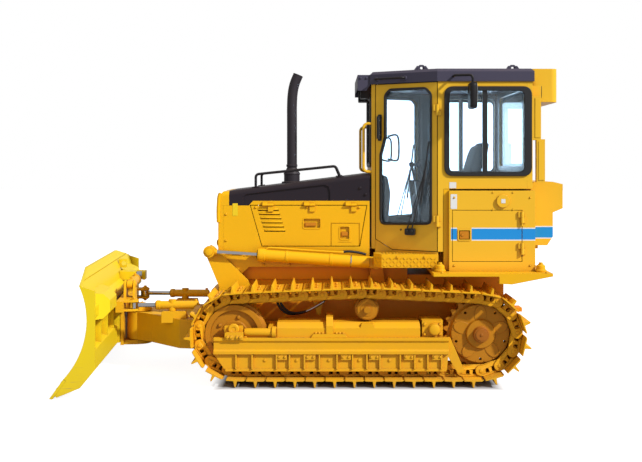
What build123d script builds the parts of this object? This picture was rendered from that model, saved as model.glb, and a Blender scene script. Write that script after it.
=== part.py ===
"""Crawler bulldozer with an enclosed cab and a power-angle-tilt blade.

Frame: +X forward, +Y left, +Z up, millimetres. The origin lies on the ground, in the middle of
the machine's length and width. The machine is parked with its blade resting on the ground.
"""
from build123d import *
from math import cos, hypot, pi, radians, sin, tan
import os

os.makedirs("parts", exist_ok=True)

# ---------------------------------------------------------------- driving dimensions
# clearances
SEAT_GAP = 0.3            # face to face, between pieces that carry each other
PIN_GAP = 0.08            # radial running clearance of a pin in its bore
PANEL_GAP = 6.0           # shut line round a door
SIDE_GAP = 5.0            # beside a moving eye, fork or ear

# track chain and its wheels
CHAIN_PITCH = 171.45
SHOES = 37
TRACK_Y = 735.0           # centre plane of a track
SHOE_WIDTH = 457.0
LINK_HALF = 50.0          # pin line to rail tread, and pin line to shoe
RAIL_OFFSET = 80.0        # centre plane of a link rail from the track's centre plane
RAIL_WIDTH = 42.0
SHOE_PLATE = 12.0
SHOE_WELD = 4.0           # how deep the shoes sit on the rails
GROUSER = 55.0
GROUSER_ROOT = 30.0
GROUSER_TIP = 14.0
SHOE_GAP = 9.0            # between two neighbouring shoes
SPROCKET_TEETH = 23       # two tooth gaps pass for one chain pitch
SPROCKET_X = -1503.0
IDLER_X = 646.0
CARRIER_X = -510.0
CARRIER_RISE = 46.0       # how far the carrier roller lifts the upper run
ROLLER_R = 84.0
CARRIER_R = 92.0
ROLLER_XS = (228.0, -17.0, -323.0, -568.0, -867.0, -1112.0)
ROLLER_GUIDE = 14.0       # how far a roller's guide stands above its treads
BUSHING_R = 31.0
TOOTH_RISE = 37.0
TOOTH_BASE = 94.0         # width of a tooth where it starts inside the root circle
TOOTH_SLOPE = 62.0
TOOTH_PHASE = 7.8
SPROCKET_HALF = 25.0
HUB_CAP_R = 71.0
DISC_R = 262.0            # flat disc of the sprocket
DISC_OUT = 52.0           # its face, from the track's centre plane
HUB_OUT = 122.0           # outer face of the hub cap, from the track's centre plane
IDLER_HALF = 108.0
GUIDE_HALF = 52.0         # half width of the guides that run between the link rails
GUIDE_RISE = 22.0
SHAFT_R = 30.0
SHAFT_HALF = 134.0
GUARD_PLATE = 20.0
GUARD_BOTTOM = 127.0
GUARD_FRONT = 819.0
GUARD_REAR = -1211.0
RIB_XS = (625, 486, 275, 163, 34, -95, -247, -381, -505, -617, -793, -918, -1030, -1150)
BAND_LOW = 278.0          # lower edge of the channel along the outer guard
BAND_OUT = 26.0
RAIL_TOP = 420.0
COVER_TOP = 545.0
TIES = ((-590.0, 440.0), (-1060.0, 440.0))   # X, Z of the cross members
TIE_R = 62.0
DRIVE_R = 222.0

# main frame, hood and engine
FRAME_HALF = 355.0
FRAME_FRONT = 790.0
FRAME_REAR = -1790.0
FRAME_BOTTOM = 335.0
FRAME_TOP = 900.0
HOOD_HALF = 430.0
HOOD_FRONT = 823.0
HOOD_REAR = -550.0
HOOD_BOTTOM = 915.0
HOOD_BAND = 1583.0        # lower edge of the black hood top
BAND_DROP = 43.0          # how far that edge drops ahead of the engine door
DROP_X = (517.0, 556.0)   # where the drop starts and ends
NOSE_SEAM = 736.0         # the yellow nose lies ahead of this
HOOD_TOP_FRONT = 1665.0
HOOD_SLOPE = 7.0
HOOD_WALL = 28.0
POCKET = 12.0             # depth of the recess in the hood top's sides
GRILLE_BARS = 9
GRILLE_HALF = 350.0
HOOD_EDGE_R = 45.0
SILL_TOP = 979.0
ENGINE_DOOR_LOW = 1165.0
ENGINE_DOOR_HIGH = 1545.0
DOOR_REBATE = 16.0        # how far the frame behind a shut line stands back
ENGINE_KNUCKLES = (-430.0, -50.0, 330.0)
KNUCKLE = 50.0            # length of a hinge knuckle
EXHAUST_X = 178.0
EXHAUST_FOOT_R = 76.0
EXHAUST_R = 49.0
EXHAUST_KNEE = 896.0      # where the pipe bends, over its foot
DRAWBAR_Z = 480.0
DRAWBAR_PIN_R = 20.0

# cab
CAB_FRONT = -567.0
CAB_REAR = -1970.0
CAB_FRONT_HALF = 430.0
CAB_HALF = 750.0
DOOR_HINGE_X = -1129.0
DOOR_FRONT_X = -599.0
DOOR_FRONT_Y = 450.0
CAB_FLOOR = 1147.0
CAB_SHELF = 1700.0        # the cab widens above this height
CAB_TUB_HALF = 480.0
ROOF_BOTTOM = 2647.0
ROOF_TOP = 2761.0
VISOR = 127.0             # how far the visor reaches ahead of the cab's front
WALL = 50.0
DOOR_WALL = 40.0
FLOOR_PLATE = 40.0
WINDSHIELD_LOW = 1905.0
WINDSHIELD_HIGH = 2560.0
WINDSHIELD_HALF = 350.0
WINDOW_CORNER = 55.0
SIDE_WINDOW_REAR = -1900.0
SIDE_WINDOW_FRONT = -1205.0
SIDE_WINDOW_LOW = 1824.0
WINDOW_DROP = 57.0        # from the roof to the windows beside and behind the seat
MULLION_X = -1552.0
REAR_WINDOW_LOW = 1900.0
REAR_WINDOW_HALF = 560.0
REAR_STEP = 2130.0        # height at which the rear corner channel steps back
GLASS = 8.0
DECK_TOP = 979.0
DECK_PLATE = 27.0
DECK_HALF = 950.0
DOOR_END_GAP = 8.0
HINGE_OUT = 16.0          # hinge axis outside the panel's face
KNUCKLE_R = 13.0
HINGE_PIN_R = 6.0
DOOR_KNUCKLES = (1436.0, 2414.0)
BOX_FRONT = -1230.0
BOX_REAR = -1986.0
BOX_FACE = 785.0
BOX_TOP = 1686.0
BOX_DOOR_FRONT = -1261.0
BOX_DOOR_REAR = -1868.0
BOX_DOOR_LOW = 1067.0
BOX_DOOR_HIGH = 1512.0
LATCH_X = -1364.0
LATCH_Z = 1298.0
FILLER_X = -1701.0
FILLER_Z = 1595.0
TANK_FRONT = -1995.0
SEAT_X = -1470.0          # rear of the seat cushion
SEAT_RISE = 312.0         # underside of the cushion over the floor
TANK_REAR = -2195.0
TANK_HALF = 560.0
TANK_TOP = 1760.0
TANK_FLARE = 89.0
RAIL_FRONT_X = 496.0
RAIL_REAR_X = -240.0
RAIL_Y = 372.0
LAMPS = ((CAB_FRONT + 45.0, 250.0, 2585.0), (CAB_REAR - 45.0, 609.0, 2560.0))   # X, Y, Z of the work lamps
MIRROR_X = -1420.0
STEP_BOTTOM = 1006.0
STEP_TOP = 1124.0
CAB_MOUNTS = ((-1182.0, 560.0), (-1940.0, 400.0), (-830.0, 335.0))   # X, Y of the rubber cab mounts
LIFT_EYES = ((-1010.0, 560.0), (-1830.0, 560.0))                     # X, Y of the roof's lifting eyes
EYE_PLATE = 16.0
EYE_RISE = 51.0           # top of an eye over the roof
EYE_HOLE_RISE = 23.0
EYE_R = 12.0

# blade and its carrying frame
LIFT_PIVOT_X = -338.0
LIFT_PIVOT_Z = 330.0
ARM_INNER = 390.0
ARM_OUTER = 480.0
ARM_HEIGHT = 260.0
NOSE_X = 1640.0           # vertical pin on which the blade angles
NOSE_Z = 385.0
BLADE_WIDTH = 2640.0
BLADE_ANGLE = 4.0         # how far the blade is angled at rest
BLADE_TOP = 1020.0
BLADE_CORNER = 923.0
MOLD_PLATE = 20.0
LIFT_EYE = (907.0, 1125.0)        # X, Z of the lift rod's eye
LIFT_REAR = (-605.0, 1023.0)      # X, Z of the lift barrel's pivot
LIFT_Y = 500.0
LIFT_PIN_R = 32.0
LIFT_EYE_HALF = 34.0      # half width of a lift cylinder's eyes
ANGLE_Y = 400.0
ANGLE_TRUNNION = (1262.0, 385.0)  # X, Y of an angle barrel's trunnion
ANGLE_Z = 625.0
ANGLE_EYE_R = 44.0
ANGLE_EYE_HALF = 25.0
ANGLE_BARREL_R = 37.0
ANGLE_ROD_R = 20.0
ANGLE_ROD_LENGTH = 424.0
ANGLE_HEAD = 150.0                # barrel ahead of its trunnion
ANGLE_TAIL = 233.0                # barrel behind its trunnion
TRUNNION_R = 20.0
LIFT_BARREL_R = 54.0
LIFT_ROD_R = 22.5
LIFT_BARREL_END = 1076.0          # barrel's head, from its pivot
LIFT_ROD_IN = 300.0               # rod inside the barrel at rest
LIFT_BORE = 575.0
ARM_THICK_X = 1060.0              # where the arms meet the cross beam
NOSE_R = 120.0
NOSE_PIN_R = 45.0
EAR = 40.0                        # thickness of the fork's ears round the nose
WEB_X = 1772.0                    # rear face of the fork's upright web
WEB = 30.0
BAR_REAR = 1725.0                 # rear face of the cross bar
BAR_HALF = 520.0
BAR_LOW = 575.0
BAR_HIGH = 675.0
TILT_PIN_R = 50.0
TILT_X = 1700.0                   # plane of the tilt cylinder
TILT_BARREL_AT = (215.0, 790.0)   # Y, Z of its barrel's pivot on the fork
TILT_ROD_AT = (-430.0, 800.0)     # Y, Z of its rod's eye on the blade
TILT_EYE_R = 40.0
TILT_EYE_HALF = 26.0
EDGE_Z = 5.0                      # cutting edge above the ground
FACE_LOW = (440.0, 165.0)         # moldboard's face ahead of the nose pin: X, Z where its curve starts
FACE_DEEP = (260.0, 555.0)
FACE_TOP = (367.0, 1020.0)
EDGE_TIP_X = 555.0
BLADE_BACK = 187.0                # rearmost of the blade, ahead of the nose pin
END_PLATE = 25.0
EDGE_PLATE = 24.0
FOOT_SHORT = 45.0                 # how far the foot stays above the cutting edge's tip
END_BIT = 300.0
BLADE_RIBS = (330.0, 660.0, 990.0)
BLADE_SHOULDER = 790.0            # half width over which the top edge is level
PEDESTAL_TOP = 572.0
WING = (640.0, 1000.0)            # from where to where across the blade a wing box is deep
WING_Z = (610.0, 850.0)
WING_DEEP = 70.0
RISER = 25.0
LIFT_EYE_R = 52.0
TILT_PIN = 72.0
TILT_BARREL_END = 400.0

# ---------------------------------------------------------------- worked out from these
PIN_RADIUS = CHAIN_PITCH / 2 / sin(radians(360.0 / SPROCKET_TEETH))
SHOE_OUT = LINK_HALF + SHOE_PLATE + GROUSER
WHEEL_Z = PIN_RADIUS + SHOE_OUT
TREAD_R = PIN_RADIUS - LINK_HALF
RAIL_OUT = RAIL_OFFSET + RAIL_WIDTH / 2
ROLLER_Z = WHEEL_Z - TREAD_R + ROLLER_R + SEAT_GAP
SIDE_WINDOW_HIGH = ROOF_BOTTOM - WINDOW_DROP
EYE_TOP = ROOF_TOP + EYE_RISE
EYE_Z = ROOF_TOP + EYE_HOLE_RISE


# ---------------------------------------------------------------- shared ways of making a shape
def slab_y(points, y_low, y_high):
    """A flat plate whose outline lies in X, Z and whose thickness runs across the machine."""
    with BuildPart() as slab:
        with BuildSketch(Plane.XZ.offset(-y_high)):
            with BuildLine():
                Polyline(*points, close=True)
            make_face()
        extrude(amount=y_high - y_low)
    return slab.part


def slab_z(points, z_low, z_high):
    """A plate whose outline lies in X, Y and whose thickness runs upwards."""
    with BuildPart() as slab:
        with BuildSketch(Plane.XY.offset(z_low)):
            with BuildLine():
                Polyline(*points, close=True)
            make_face()
        extrude(amount=z_high - z_low)
    return slab.part


def slab_x(points, x_low, x_high):
    """A plate whose outline lies in Y, Z and whose thickness runs along the machine."""
    with BuildPart() as slab:
        with BuildSketch(Plane.YZ.offset(x_low)):
            with BuildLine():
                Polyline(*points, close=True)
            make_face()
        extrude(amount=x_high - x_low)
    return slab.part


def block(x, y, z):
    """A box between the two values of each of x, y and z."""
    with BuildPart() as piece:
        with Locations(((x[0] + x[1]) / 2, (y[0] + y[1]) / 2, (z[0] + z[1]) / 2)):
            Box(x[1] - x[0], y[1] - y[0], z[1] - z[0])
    return piece.part


def bar(start, end, radius):
    """A round bar from start to end."""
    way = Vector(*end) - Vector(*start)
    with BuildPart() as piece:
        with BuildSketch(Plane(origin=start, z_dir=way)):
            Circle(radius)
        extrude(amount=way.length)
    return piece.part


def bent_tube(points, bend, radius):
    """A round tube along straight runs joined by tangent arcs."""
    with BuildPart() as piece:
        with BuildLine():
            path = FilletPolyline(*points, radius=bend)
        with BuildSketch(Plane(origin=path @ 0, z_dir=path % 0)):
            Circle(radius)
        sweep(path=path)
    return piece.part


def both_sides(piece):
    """The left piece and its mirror image on the right."""
    with BuildPart() as pair:
        add(piece)
        mirror(piece, about=Plane.XZ)
    return pair.part


def on_right(piece):
    """The mirror image of a left piece."""
    with BuildPart() as image:
        mirror(piece, about=Plane.XZ, mode=Mode.ADD)
    return image.part


def keep(piece, name):
    """Label a finished piece and write it to its file."""
    piece.label = name
    export_step(piece, f"parts/{name}.step")


# ---------------------------------------------------------------- tracks
def pin_places():
    """The chain's pins, evenly along a loop of two wheels and an upper run over the carrier roller."""
    low = WHEEL_Z - PIN_RADIUS
    high = WHEEL_Z + PIN_RADIUS
    peak = high + CARRIER_RISE
    runs = [
        ("line", (SPROCKET_X, low), (IDLER_X, low)),
        ("arc", (IDLER_X, WHEEL_Z), -90.0),
        ("line", (IDLER_X, high), (CARRIER_X, peak)),
        ("line", (CARRIER_X, peak), (SPROCKET_X, high)),
        ("arc", (SPROCKET_X, WHEEL_Z), 90.0),
    ]
    lengths = [hypot(r[2][0] - r[1][0], r[2][1] - r[1][1]) if r[0] == "line" else pi * PIN_RADIUS for r in runs]
    total = sum(lengths)
    places = []
    for shoe in range(SHOES):
        along = total * shoe / SHOES
        for run, length in zip(runs, lengths):
            if along <= length:
                break
            along -= length
        if run[0] == "line":
            share = along / length
            places.append(tuple(a + (b - a) * share for a, b in zip(run[1], run[2])))
        else:
            turn = radians(run[2] + 180.0 * along / length)
            places.append((run[1][0] + PIN_RADIUS * cos(turn), run[1][1] + PIN_RADIUS * sin(turn)))
    return places


def link_frames():
    """For each link: the middle of its two pins, the unit vector along it and the one out of the loop."""
    pins = pin_places()
    frames = []
    for pin, after in zip(pins, pins[1:] + pins[:1]):
        length = hypot(after[0] - pin[0], after[1] - pin[1])
        along = ((after[0] - pin[0]) / length, (after[1] - pin[1]) / length)
        out = (along[1], -along[0])
        middle = ((pin[0] + after[0]) / 2, (pin[1] + after[1]) / 2)
        frames.append((middle, along, out))
    return frames


def pin_offset(frames, index, height):
    """The corner over a pin where the faces of its two links meet, height out of the pin line."""
    pin = pin_places()[index]
    before, after = frames[index - 1][2], frames[index][2]
    both = (before[0] + after[0], before[1] + after[1])
    reach = 2 * height / (both[0] ** 2 + both[1] ** 2)
    return (pin[0] + both[0] * reach, pin[1] + both[1] * reach)


def chain_ring(height):
    """The closed outline that runs from pin to pin, height out of the pin line."""
    frames = link_frames()
    return [pin_offset(frames, index, height) for index in range(SHOES)]


def shoe_ring():
    """The closed outline of all shoes: a notch over each pin, then plate, grouser and plate."""
    half_shoe = (CHAIN_PITCH - SHOE_GAP) / 2
    plate_out = LINK_HALF + SHOE_PLATE
    # along the link from its middle, out of the pin line
    stations = [(-half_shoe, plate_out), (-GROUSER_ROOT / 2, plate_out), (-GROUSER_TIP / 2, SHOE_OUT),
                (GROUSER_TIP / 2, SHOE_OUT), (GROUSER_ROOT / 2, plate_out), (half_shoe, plate_out)]
    frames = link_frames()
    outline = []
    for index, (middle, along, out) in enumerate(frames):
        outline.append(pin_offset(frames, index, LINK_HALF))
        for step, height in stations:
            outline.append((middle[0] + along[0] * step + out[0] * height,
                            middle[1] + along[1] * step + out[1] * height))
    return outline


def track_loop():
    """The shoes with their grousers, and the two link rails that carry them."""
    with BuildPart() as loop:
        with BuildSketch(Plane.XZ.offset(-TRACK_Y - SHOE_WIDTH / 2)):
            with BuildLine():
                Polyline(*shoe_ring(), close=True)
            make_face()
            with BuildLine():
                Polyline(*chain_ring(LINK_HALF - SHOE_WELD), close=True)
            make_face(mode=Mode.SUBTRACT)
        extrude(amount=SHOE_WIDTH)
        for side in (-1, 1):
            rail_y = TRACK_Y + side * RAIL_OFFSET
            with BuildSketch(Plane.XZ.offset(-rail_y - RAIL_WIDTH / 2)):
                with BuildLine():
                    Polyline(*chain_ring(LINK_HALF), close=True)
                make_face()
                with BuildLine():
                    Polyline(*chain_ring(-LINK_HALF), close=True)
                make_face(mode=Mode.SUBTRACT)
            extrude(amount=RAIL_WIDTH)
    return loop.part


track_left = track_loop()
keep(track_left, "track_left")
keep(on_right(track_left), "track_right")


# ---------------------------------------------------------------- wheels inside the tracks
first, second = [place for place in pin_places() if place[0] > IDLER_X + PIN_RADIUS / 2][:2]
WHEEL_CHORD = hypot(second[0] - first[0], second[1] - first[1])
IDLER_R = (PIN_RADIUS ** 2 - WHEEL_CHORD ** 2 / 4) ** 0.5 - LINK_HALF - SEAT_GAP
# the link that lies over the carrier roller, and the roller's height under it
(front_x, front_z), (rear_x, rear_z) = [
    (pin, after) for pin, after in zip(pin_places(), pin_places()[1:])
    if after[0] <= CARRIER_X < pin[0]][0]
over_slope = (front_z - rear_z) / (front_x - rear_x)
CARRIER_Z = (rear_z + over_slope * (CARRIER_X - rear_x)
             - (LINK_HALF + CARRIER_R + SEAT_GAP) * (1 + over_slope ** 2) ** 0.5)


def turned(x, z, y, points):
    """A wheel turned about the cross axis at x, z; points are (radius, offset from y)."""
    with BuildPart() as wheel:
        with BuildSketch(Plane(origin=(x, y, z), x_dir=(1, 0, 0), z_dir=(0, 0, 1))):
            with BuildLine():
                Polyline(*points, close=True)
            make_face()
        revolve(axis=Axis((x, y, z), (0, 1, 0)))
    return wheel.part


def ring_holes(x, z, y, depth, radius, places, place_radius, start=90.0):
    """Round plugs of the given radius, spread on a circle about the cross axis at x, z."""
    with BuildPart() as cutters:
        with BuildSketch(Plane(origin=(x, y + depth / 2, z), x_dir=(1, 0, 0), z_dir=(0, -1, 0))):
            with PolarLocations(place_radius, places, start_angle=start):
                Circle(radius)
        extrude(amount=depth)
    return cutters.part


with BuildPart() as sprocket:
    root = PIN_RADIUS - BUSHING_R
    with BuildSketch(Plane(origin=(SPROCKET_X, TRACK_Y + SPROCKET_HALF, WHEEL_Z), x_dir=(1, 0, 0), z_dir=(0, -1, 0))):
        Circle(root)
        with PolarLocations(root, SPROCKET_TEETH, start_angle=TOOTH_PHASE):
            Trapezoid(TOOTH_BASE, 2 * TOOTH_RISE, TOOTH_SLOPE, rotation=-90)
    extrude(amount=2 * SPROCKET_HALF)
    # radius, offset from the sprocket's centre plane
    add(turned(SPROCKET_X, WHEEL_Z, TRACK_Y,
               [(0, -SPROCKET_HALF), (root - 4, -SPROCKET_HALF), (root - 20, SPROCKET_HALF + 4),
                (DISC_R, SPROCKET_HALF + 8), (DISC_R - 8, DISC_OUT), (132, DISC_OUT + 6), (122, 84),
                (HUB_CAP_R, 88), (HUB_CAP_R - 8, HUB_OUT), (0, HUB_OUT)]))
    # five low lobes round the hub, and a hole between each two
    with BuildSketch(Plane(origin=(SPROCKET_X, TRACK_Y + DISC_OUT + 8, WHEEL_Z), x_dir=(1, 0, 0), z_dir=(0, -1, 0))):
        with PolarLocations(165, 5, start_angle=90):
            Ellipse(80, 52)
    extrude(amount=30)
    add(ring_holes(SPROCKET_X, WHEEL_Z, TRACK_Y, 400, 12, 5, 223, 54.0), mode=Mode.SUBTRACT)
sprockets = both_sides(sprocket.part)
keep(sprockets, "sprockets")

with BuildPart() as idler:
    add(turned(IDLER_X, WHEEL_Z, TRACK_Y,
               [(0, -IDLER_HALF), (66, -IDLER_HALF), (78, -24), (204, -16), (210, -RAIL_OUT), (IDLER_R, -RAIL_OUT),
                (IDLER_R, -GUIDE_HALF), (IDLER_R + GUIDE_RISE, -GUIDE_HALF + 8),
                (IDLER_R + GUIDE_RISE, GUIDE_HALF - 8), (IDLER_R, GUIDE_HALF), (IDLER_R, RAIL_OUT),
                (210, RAIL_OUT), (204, 16), (78, 24), (66, IDLER_HALF), (0, IDLER_HALF)]))
    # bosses on both faces of the web
    add(ring_holes(IDLER_X, WHEEL_Z, TRACK_Y, 64, 17, 5, 180))
keep(both_sides(idler.part), "idlers")


def track_roller(x, z, radius):
    """A roller with two treads under the link rails, a guide between them and its shaft."""
    return turned(x, z, TRACK_Y,
                  [(0, -SHAFT_HALF), (SHAFT_R, -SHAFT_HALF), (SHAFT_R, -RAIL_OUT), (radius, -RAIL_OUT),
                   (radius, -GUIDE_HALF), (radius + ROLLER_GUIDE, -GUIDE_HALF + 6),
                   (radius + ROLLER_GUIDE, GUIDE_HALF - 6), (radius, GUIDE_HALF), (radius, RAIL_OUT),
                   (SHAFT_R, RAIL_OUT), (SHAFT_R, SHAFT_HALF), (0, SHAFT_HALF)])


with BuildPart() as rollers:
    for roller_x in ROLLER_XS:
        add(track_roller(roller_x, ROLLER_Z, ROLLER_R))
    add(track_roller(CARRIER_X, CARRIER_Z, CARRIER_R))
keep(both_sides(rollers.part), "rollers")

# ---------------------------------------------------------------- track frames
plate_in = SHAFT_HALF + SEAT_GAP
plate_out = plate_in + GUARD_PLATE
with BuildPart() as track_frame:
    # roller guards: two side plates whose lower edge hangs beside the rollers
    guard = [(GUARD_REAR, BAND_LOW), (GUARD_REAR + 13, GUARD_BOTTOM + 14), (GUARD_REAR + 27, GUARD_BOTTOM),
             (GUARD_FRONT - 103, GUARD_BOTTOM), (GUARD_FRONT, BAND_LOW), (GUARD_FRONT, RAIL_TOP), (GUARD_REAR, RAIL_TOP)]
    for low in (TRACK_Y - plate_out, TRACK_Y + plate_in):
        add(slab_y(guard, low, low + GUARD_PLATE))
    # stiffening ribs and flanges on the outer guard
    rib_y = TRACK_Y + plate_out
    for rib_x in RIB_XS:
        add(block((rib_x - 7, rib_x + 7), (rib_y - 1, rib_y + BAND_OUT - 4), (GUARD_BOTTOM + 24, BAND_LOW + 4)))
    add(slab_x([(rib_y - 1, RAIL_TOP), (rib_y + BAND_OUT, RAIL_TOP), (rib_y + BAND_OUT, RAIL_TOP - 26), (rib_y + 12, RAIL_TOP - 40),
                (rib_y + 12, BAND_LOW + 40), (rib_y + BAND_OUT, BAND_LOW + 26), (rib_y + BAND_OUT, BAND_LOW), (rib_y - 1, BAND_LOW)],
               GUARD_REAR, GUARD_FRONT))
    add(block((GUARD_REAR + 20, GUARD_FRONT - 100), (rib_y - 1, rib_y + 8), (GUARD_BOTTOM, GUARD_BOTTOM + 26)))
    # end caps of the rollers' shafts
    for roller_x in ROLLER_XS:
        add(block((roller_x - 44, roller_x + 44), (rib_y - 1, rib_y + 18), (BAND_LOW - 50, BAND_LOW + 1)))
    # bar that guides the chain on to the sprocket
    add(slab_y([(-1176, RAIL_TOP), (-1176, BAND_LOW + 30), (-1290, 112), (-1342, 112), (-1342, 150), (-1226, RAIL_TOP)],
               TRACK_Y + plate_in, TRACK_Y + plate_out))
    # the web over the rollers, and the housing of the recoil spring on it
    add(block((-1150, 340), (TRACK_Y - plate_out, TRACK_Y + plate_out), (RAIL_TOP - 30, RAIL_TOP)))
    wide, slope = plate_out, 46
    add(slab_x([(TRACK_Y - wide, RAIL_TOP), (TRACK_Y + wide, RAIL_TOP), (TRACK_Y + wide, COVER_TOP - slope),
                (TRACK_Y + wide - slope, COVER_TOP), (TRACK_Y - wide + slope, COVER_TOP),
                (TRACK_Y - wide, COVER_TOP - slope)], -967, 272))
    add(block((-1165, -985), (TRACK_Y - 120, TRACK_Y + 130), (RAIL_TOP, COVER_TOP + 18)))
    add(bar((-1090, TRACK_Y + 130, 488), (-1090, TRACK_Y + 156, 488), 52))
    # clamp round the housing
    add(slab_x([(TRACK_Y - wide - 12, RAIL_TOP), (TRACK_Y + wide + 12, RAIL_TOP), (TRACK_Y + wide + 12, 520),
                (TRACK_Y + wide - 40, 592), (TRACK_Y - wide + 40, 592), (TRACK_Y - wide - 12, 520)], -213, -153))
    # fork that carries the idler
    for low in (TRACK_Y - 150, TRACK_Y + 112):
        add(slab_y([(272, 413), (567, 413), (567, 387), (727, 387), (727, 517), (567, 517), (567, 470), (272, 470)],
                   low, low + 38))
    add(block((262, 350), (TRACK_Y - 150, TRACK_Y + 150), (413, 508)))
    # bracket of the carrier roller
    add(slab_y([(CARRIER_X - 60, COVER_TOP - slope - 20), (CARRIER_X + 60, COVER_TOP - slope - 20),
                (CARRIER_X + 34, CARRIER_Z + 40), (CARRIER_X - 34, CARRIER_Z + 40)], TRACK_Y - plate_out, TRACK_Y - plate_in))
    add(slab_y([(CARRIER_X - 70, COVER_TOP - slope - 20), (CARRIER_X + 70, COVER_TOP - slope - 20),
                (CARRIER_X + 50, COVER_TOP - 5), (CARRIER_X - 50, COVER_TOP - 5)], TRACK_Y - plate_out, TRACK_Y + plate_out))
    # cross members to the main frame
    for tie_x, tie_z in TIES:
        add(bar((tie_x, FRAME_HALF, tie_z), (tie_x, TRACK_Y - plate_in, tie_z), TIE_R))
keep(track_frame.part, "track_frame_left")
keep(on_right(track_frame.part), "track_frame_right")

# ---------------------------------------------------------------- main frame
with BuildPart() as main_frame:
    add(slab_y([(FRAME_FRONT, 420), (FRAME_FRONT - 120, FRAME_BOTTOM), (-1250, FRAME_BOTTOM), (-1380, 250),
                (-1650, 250), (FRAME_REAR, 420), (FRAME_REAR, FRAME_TOP - 60), (FRAME_REAR + 60, FRAME_TOP),
                (FRAME_FRONT, FRAME_TOP)], -FRAME_HALF, FRAME_HALF))
    # sills under the hood
    add(both_sides(slab_y([(HOOD_FRONT, HOOD_BOTTOM - 15), (HOOD_FRONT, HOOD_BOTTOM), (620, HOOD_BOTTOM),
                           (551, SILL_TOP), (-900, SILL_TOP), (-900, FRAME_TOP - 40), (620, FRAME_TOP - 40)],
                          FRAME_HALF - 60, FRAME_HALF + 20)))
    # rear axle and final drive housings
    drive_out = TRACK_Y - SPROCKET_HALF - SEAT_GAP
    add(bar((SPROCKET_X, -drive_out, WHEEL_Z), (SPROCKET_X, drive_out, WHEEL_Z), DRIVE_R))
    for side in (-1, 1):
        # pin of the blade's frame
        add(bar((LIFT_PIVOT_X, side * (FRAME_HALF - 20), LIFT_PIVOT_Z),
                (LIFT_PIVOT_X, side * (ARM_OUTER + SIDE_GAP), LIFT_PIVOT_Z), LIFT_PIN_R))
        add(bar((LIFT_PIVOT_X, side * (FRAME_HALF - 20), LIFT_PIVOT_Z),
                (LIFT_PIVOT_X, side * (ARM_INNER - SIDE_GAP), LIFT_PIVOT_Z), 92))
        # bracket and pin of the lift cylinder
        inner, outer = sorted((side * (FRAME_HALF - 20), side * (LIFT_Y - LIFT_EYE_HALF - SIDE_GAP)))
        add(slab_y([(LIFT_REAR[0] - 90, FRAME_TOP - 100), (LIFT_REAR[0] + 50, FRAME_TOP - 100),
                    (LIFT_REAR[0] + 52, LIFT_REAR[1] + 40), (LIFT_REAR[0], LIFT_REAR[1] + 58),
                    (LIFT_REAR[0] - 52, LIFT_REAR[1] + 40)], inner, outer))
        add(bar((LIFT_REAR[0], side * (FRAME_HALF + 10), LIFT_REAR[1]),
                (LIFT_REAR[0], side * (LIFT_Y + LIFT_EYE_HALF + SIDE_GAP), LIFT_REAR[1]), LIFT_PIN_R))
    # pillars under the deck
    for pillar_x in (-1700, -1200):
        add(both_sides(block((pillar_x - 60, pillar_x + 60), (230, FRAME_HALF), (FRAME_TOP - 20, DECK_TOP - DECK_PLATE))))
keep(main_frame.part, "main_frame")

with BuildPart() as drawbar:
    add(slab_z([(FRAME_REAR, 170), (FRAME_REAR, -170), (FRAME_REAR - 60, -170), (FRAME_REAR - 90, -75),
                (FRAME_REAR - 230, -75), (FRAME_REAR - 230, 75), (FRAME_REAR - 90, 75), (FRAME_REAR - 60, 170)],
               DRAWBAR_Z - 70, DRAWBAR_Z + 70))
    add(block((FRAME_REAR - 240, FRAME_REAR - 100), (-80, 80), (DRAWBAR_Z - 32, DRAWBAR_Z + 32)), mode=Mode.SUBTRACT)
    add(bar((FRAME_REAR - 170, 0, DRAWBAR_Z - 80), (FRAME_REAR - 170, 0, DRAWBAR_Z + 80), DRAWBAR_PIN_R),
        mode=Mode.SUBTRACT)
keep(drawbar.part, "drawbar")

with BuildPart() as engine:
    add(slab_x([(-250, FRAME_TOP), (250, FRAME_TOP), (300, 1180), (270, 1420), (-270, 1420), (-300, 1180)],
               -300, 560))
keep(engine.part, "engine")


# ---------------------------------------------------------------- hood
def hood_top_z(x):
    """Height of the sloping hood top at x."""
    return HOOD_TOP_FRONT + (HOOD_FRONT - x) * tan(radians(HOOD_SLOPE))


def band_edge(low):
    """Points along the black top's lower edge, from the front backwards, lowered by low."""
    return [(DROP_X[1], HOOD_BAND - BAND_DROP - low), (DROP_X[0], HOOD_BAND - low)]


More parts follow.
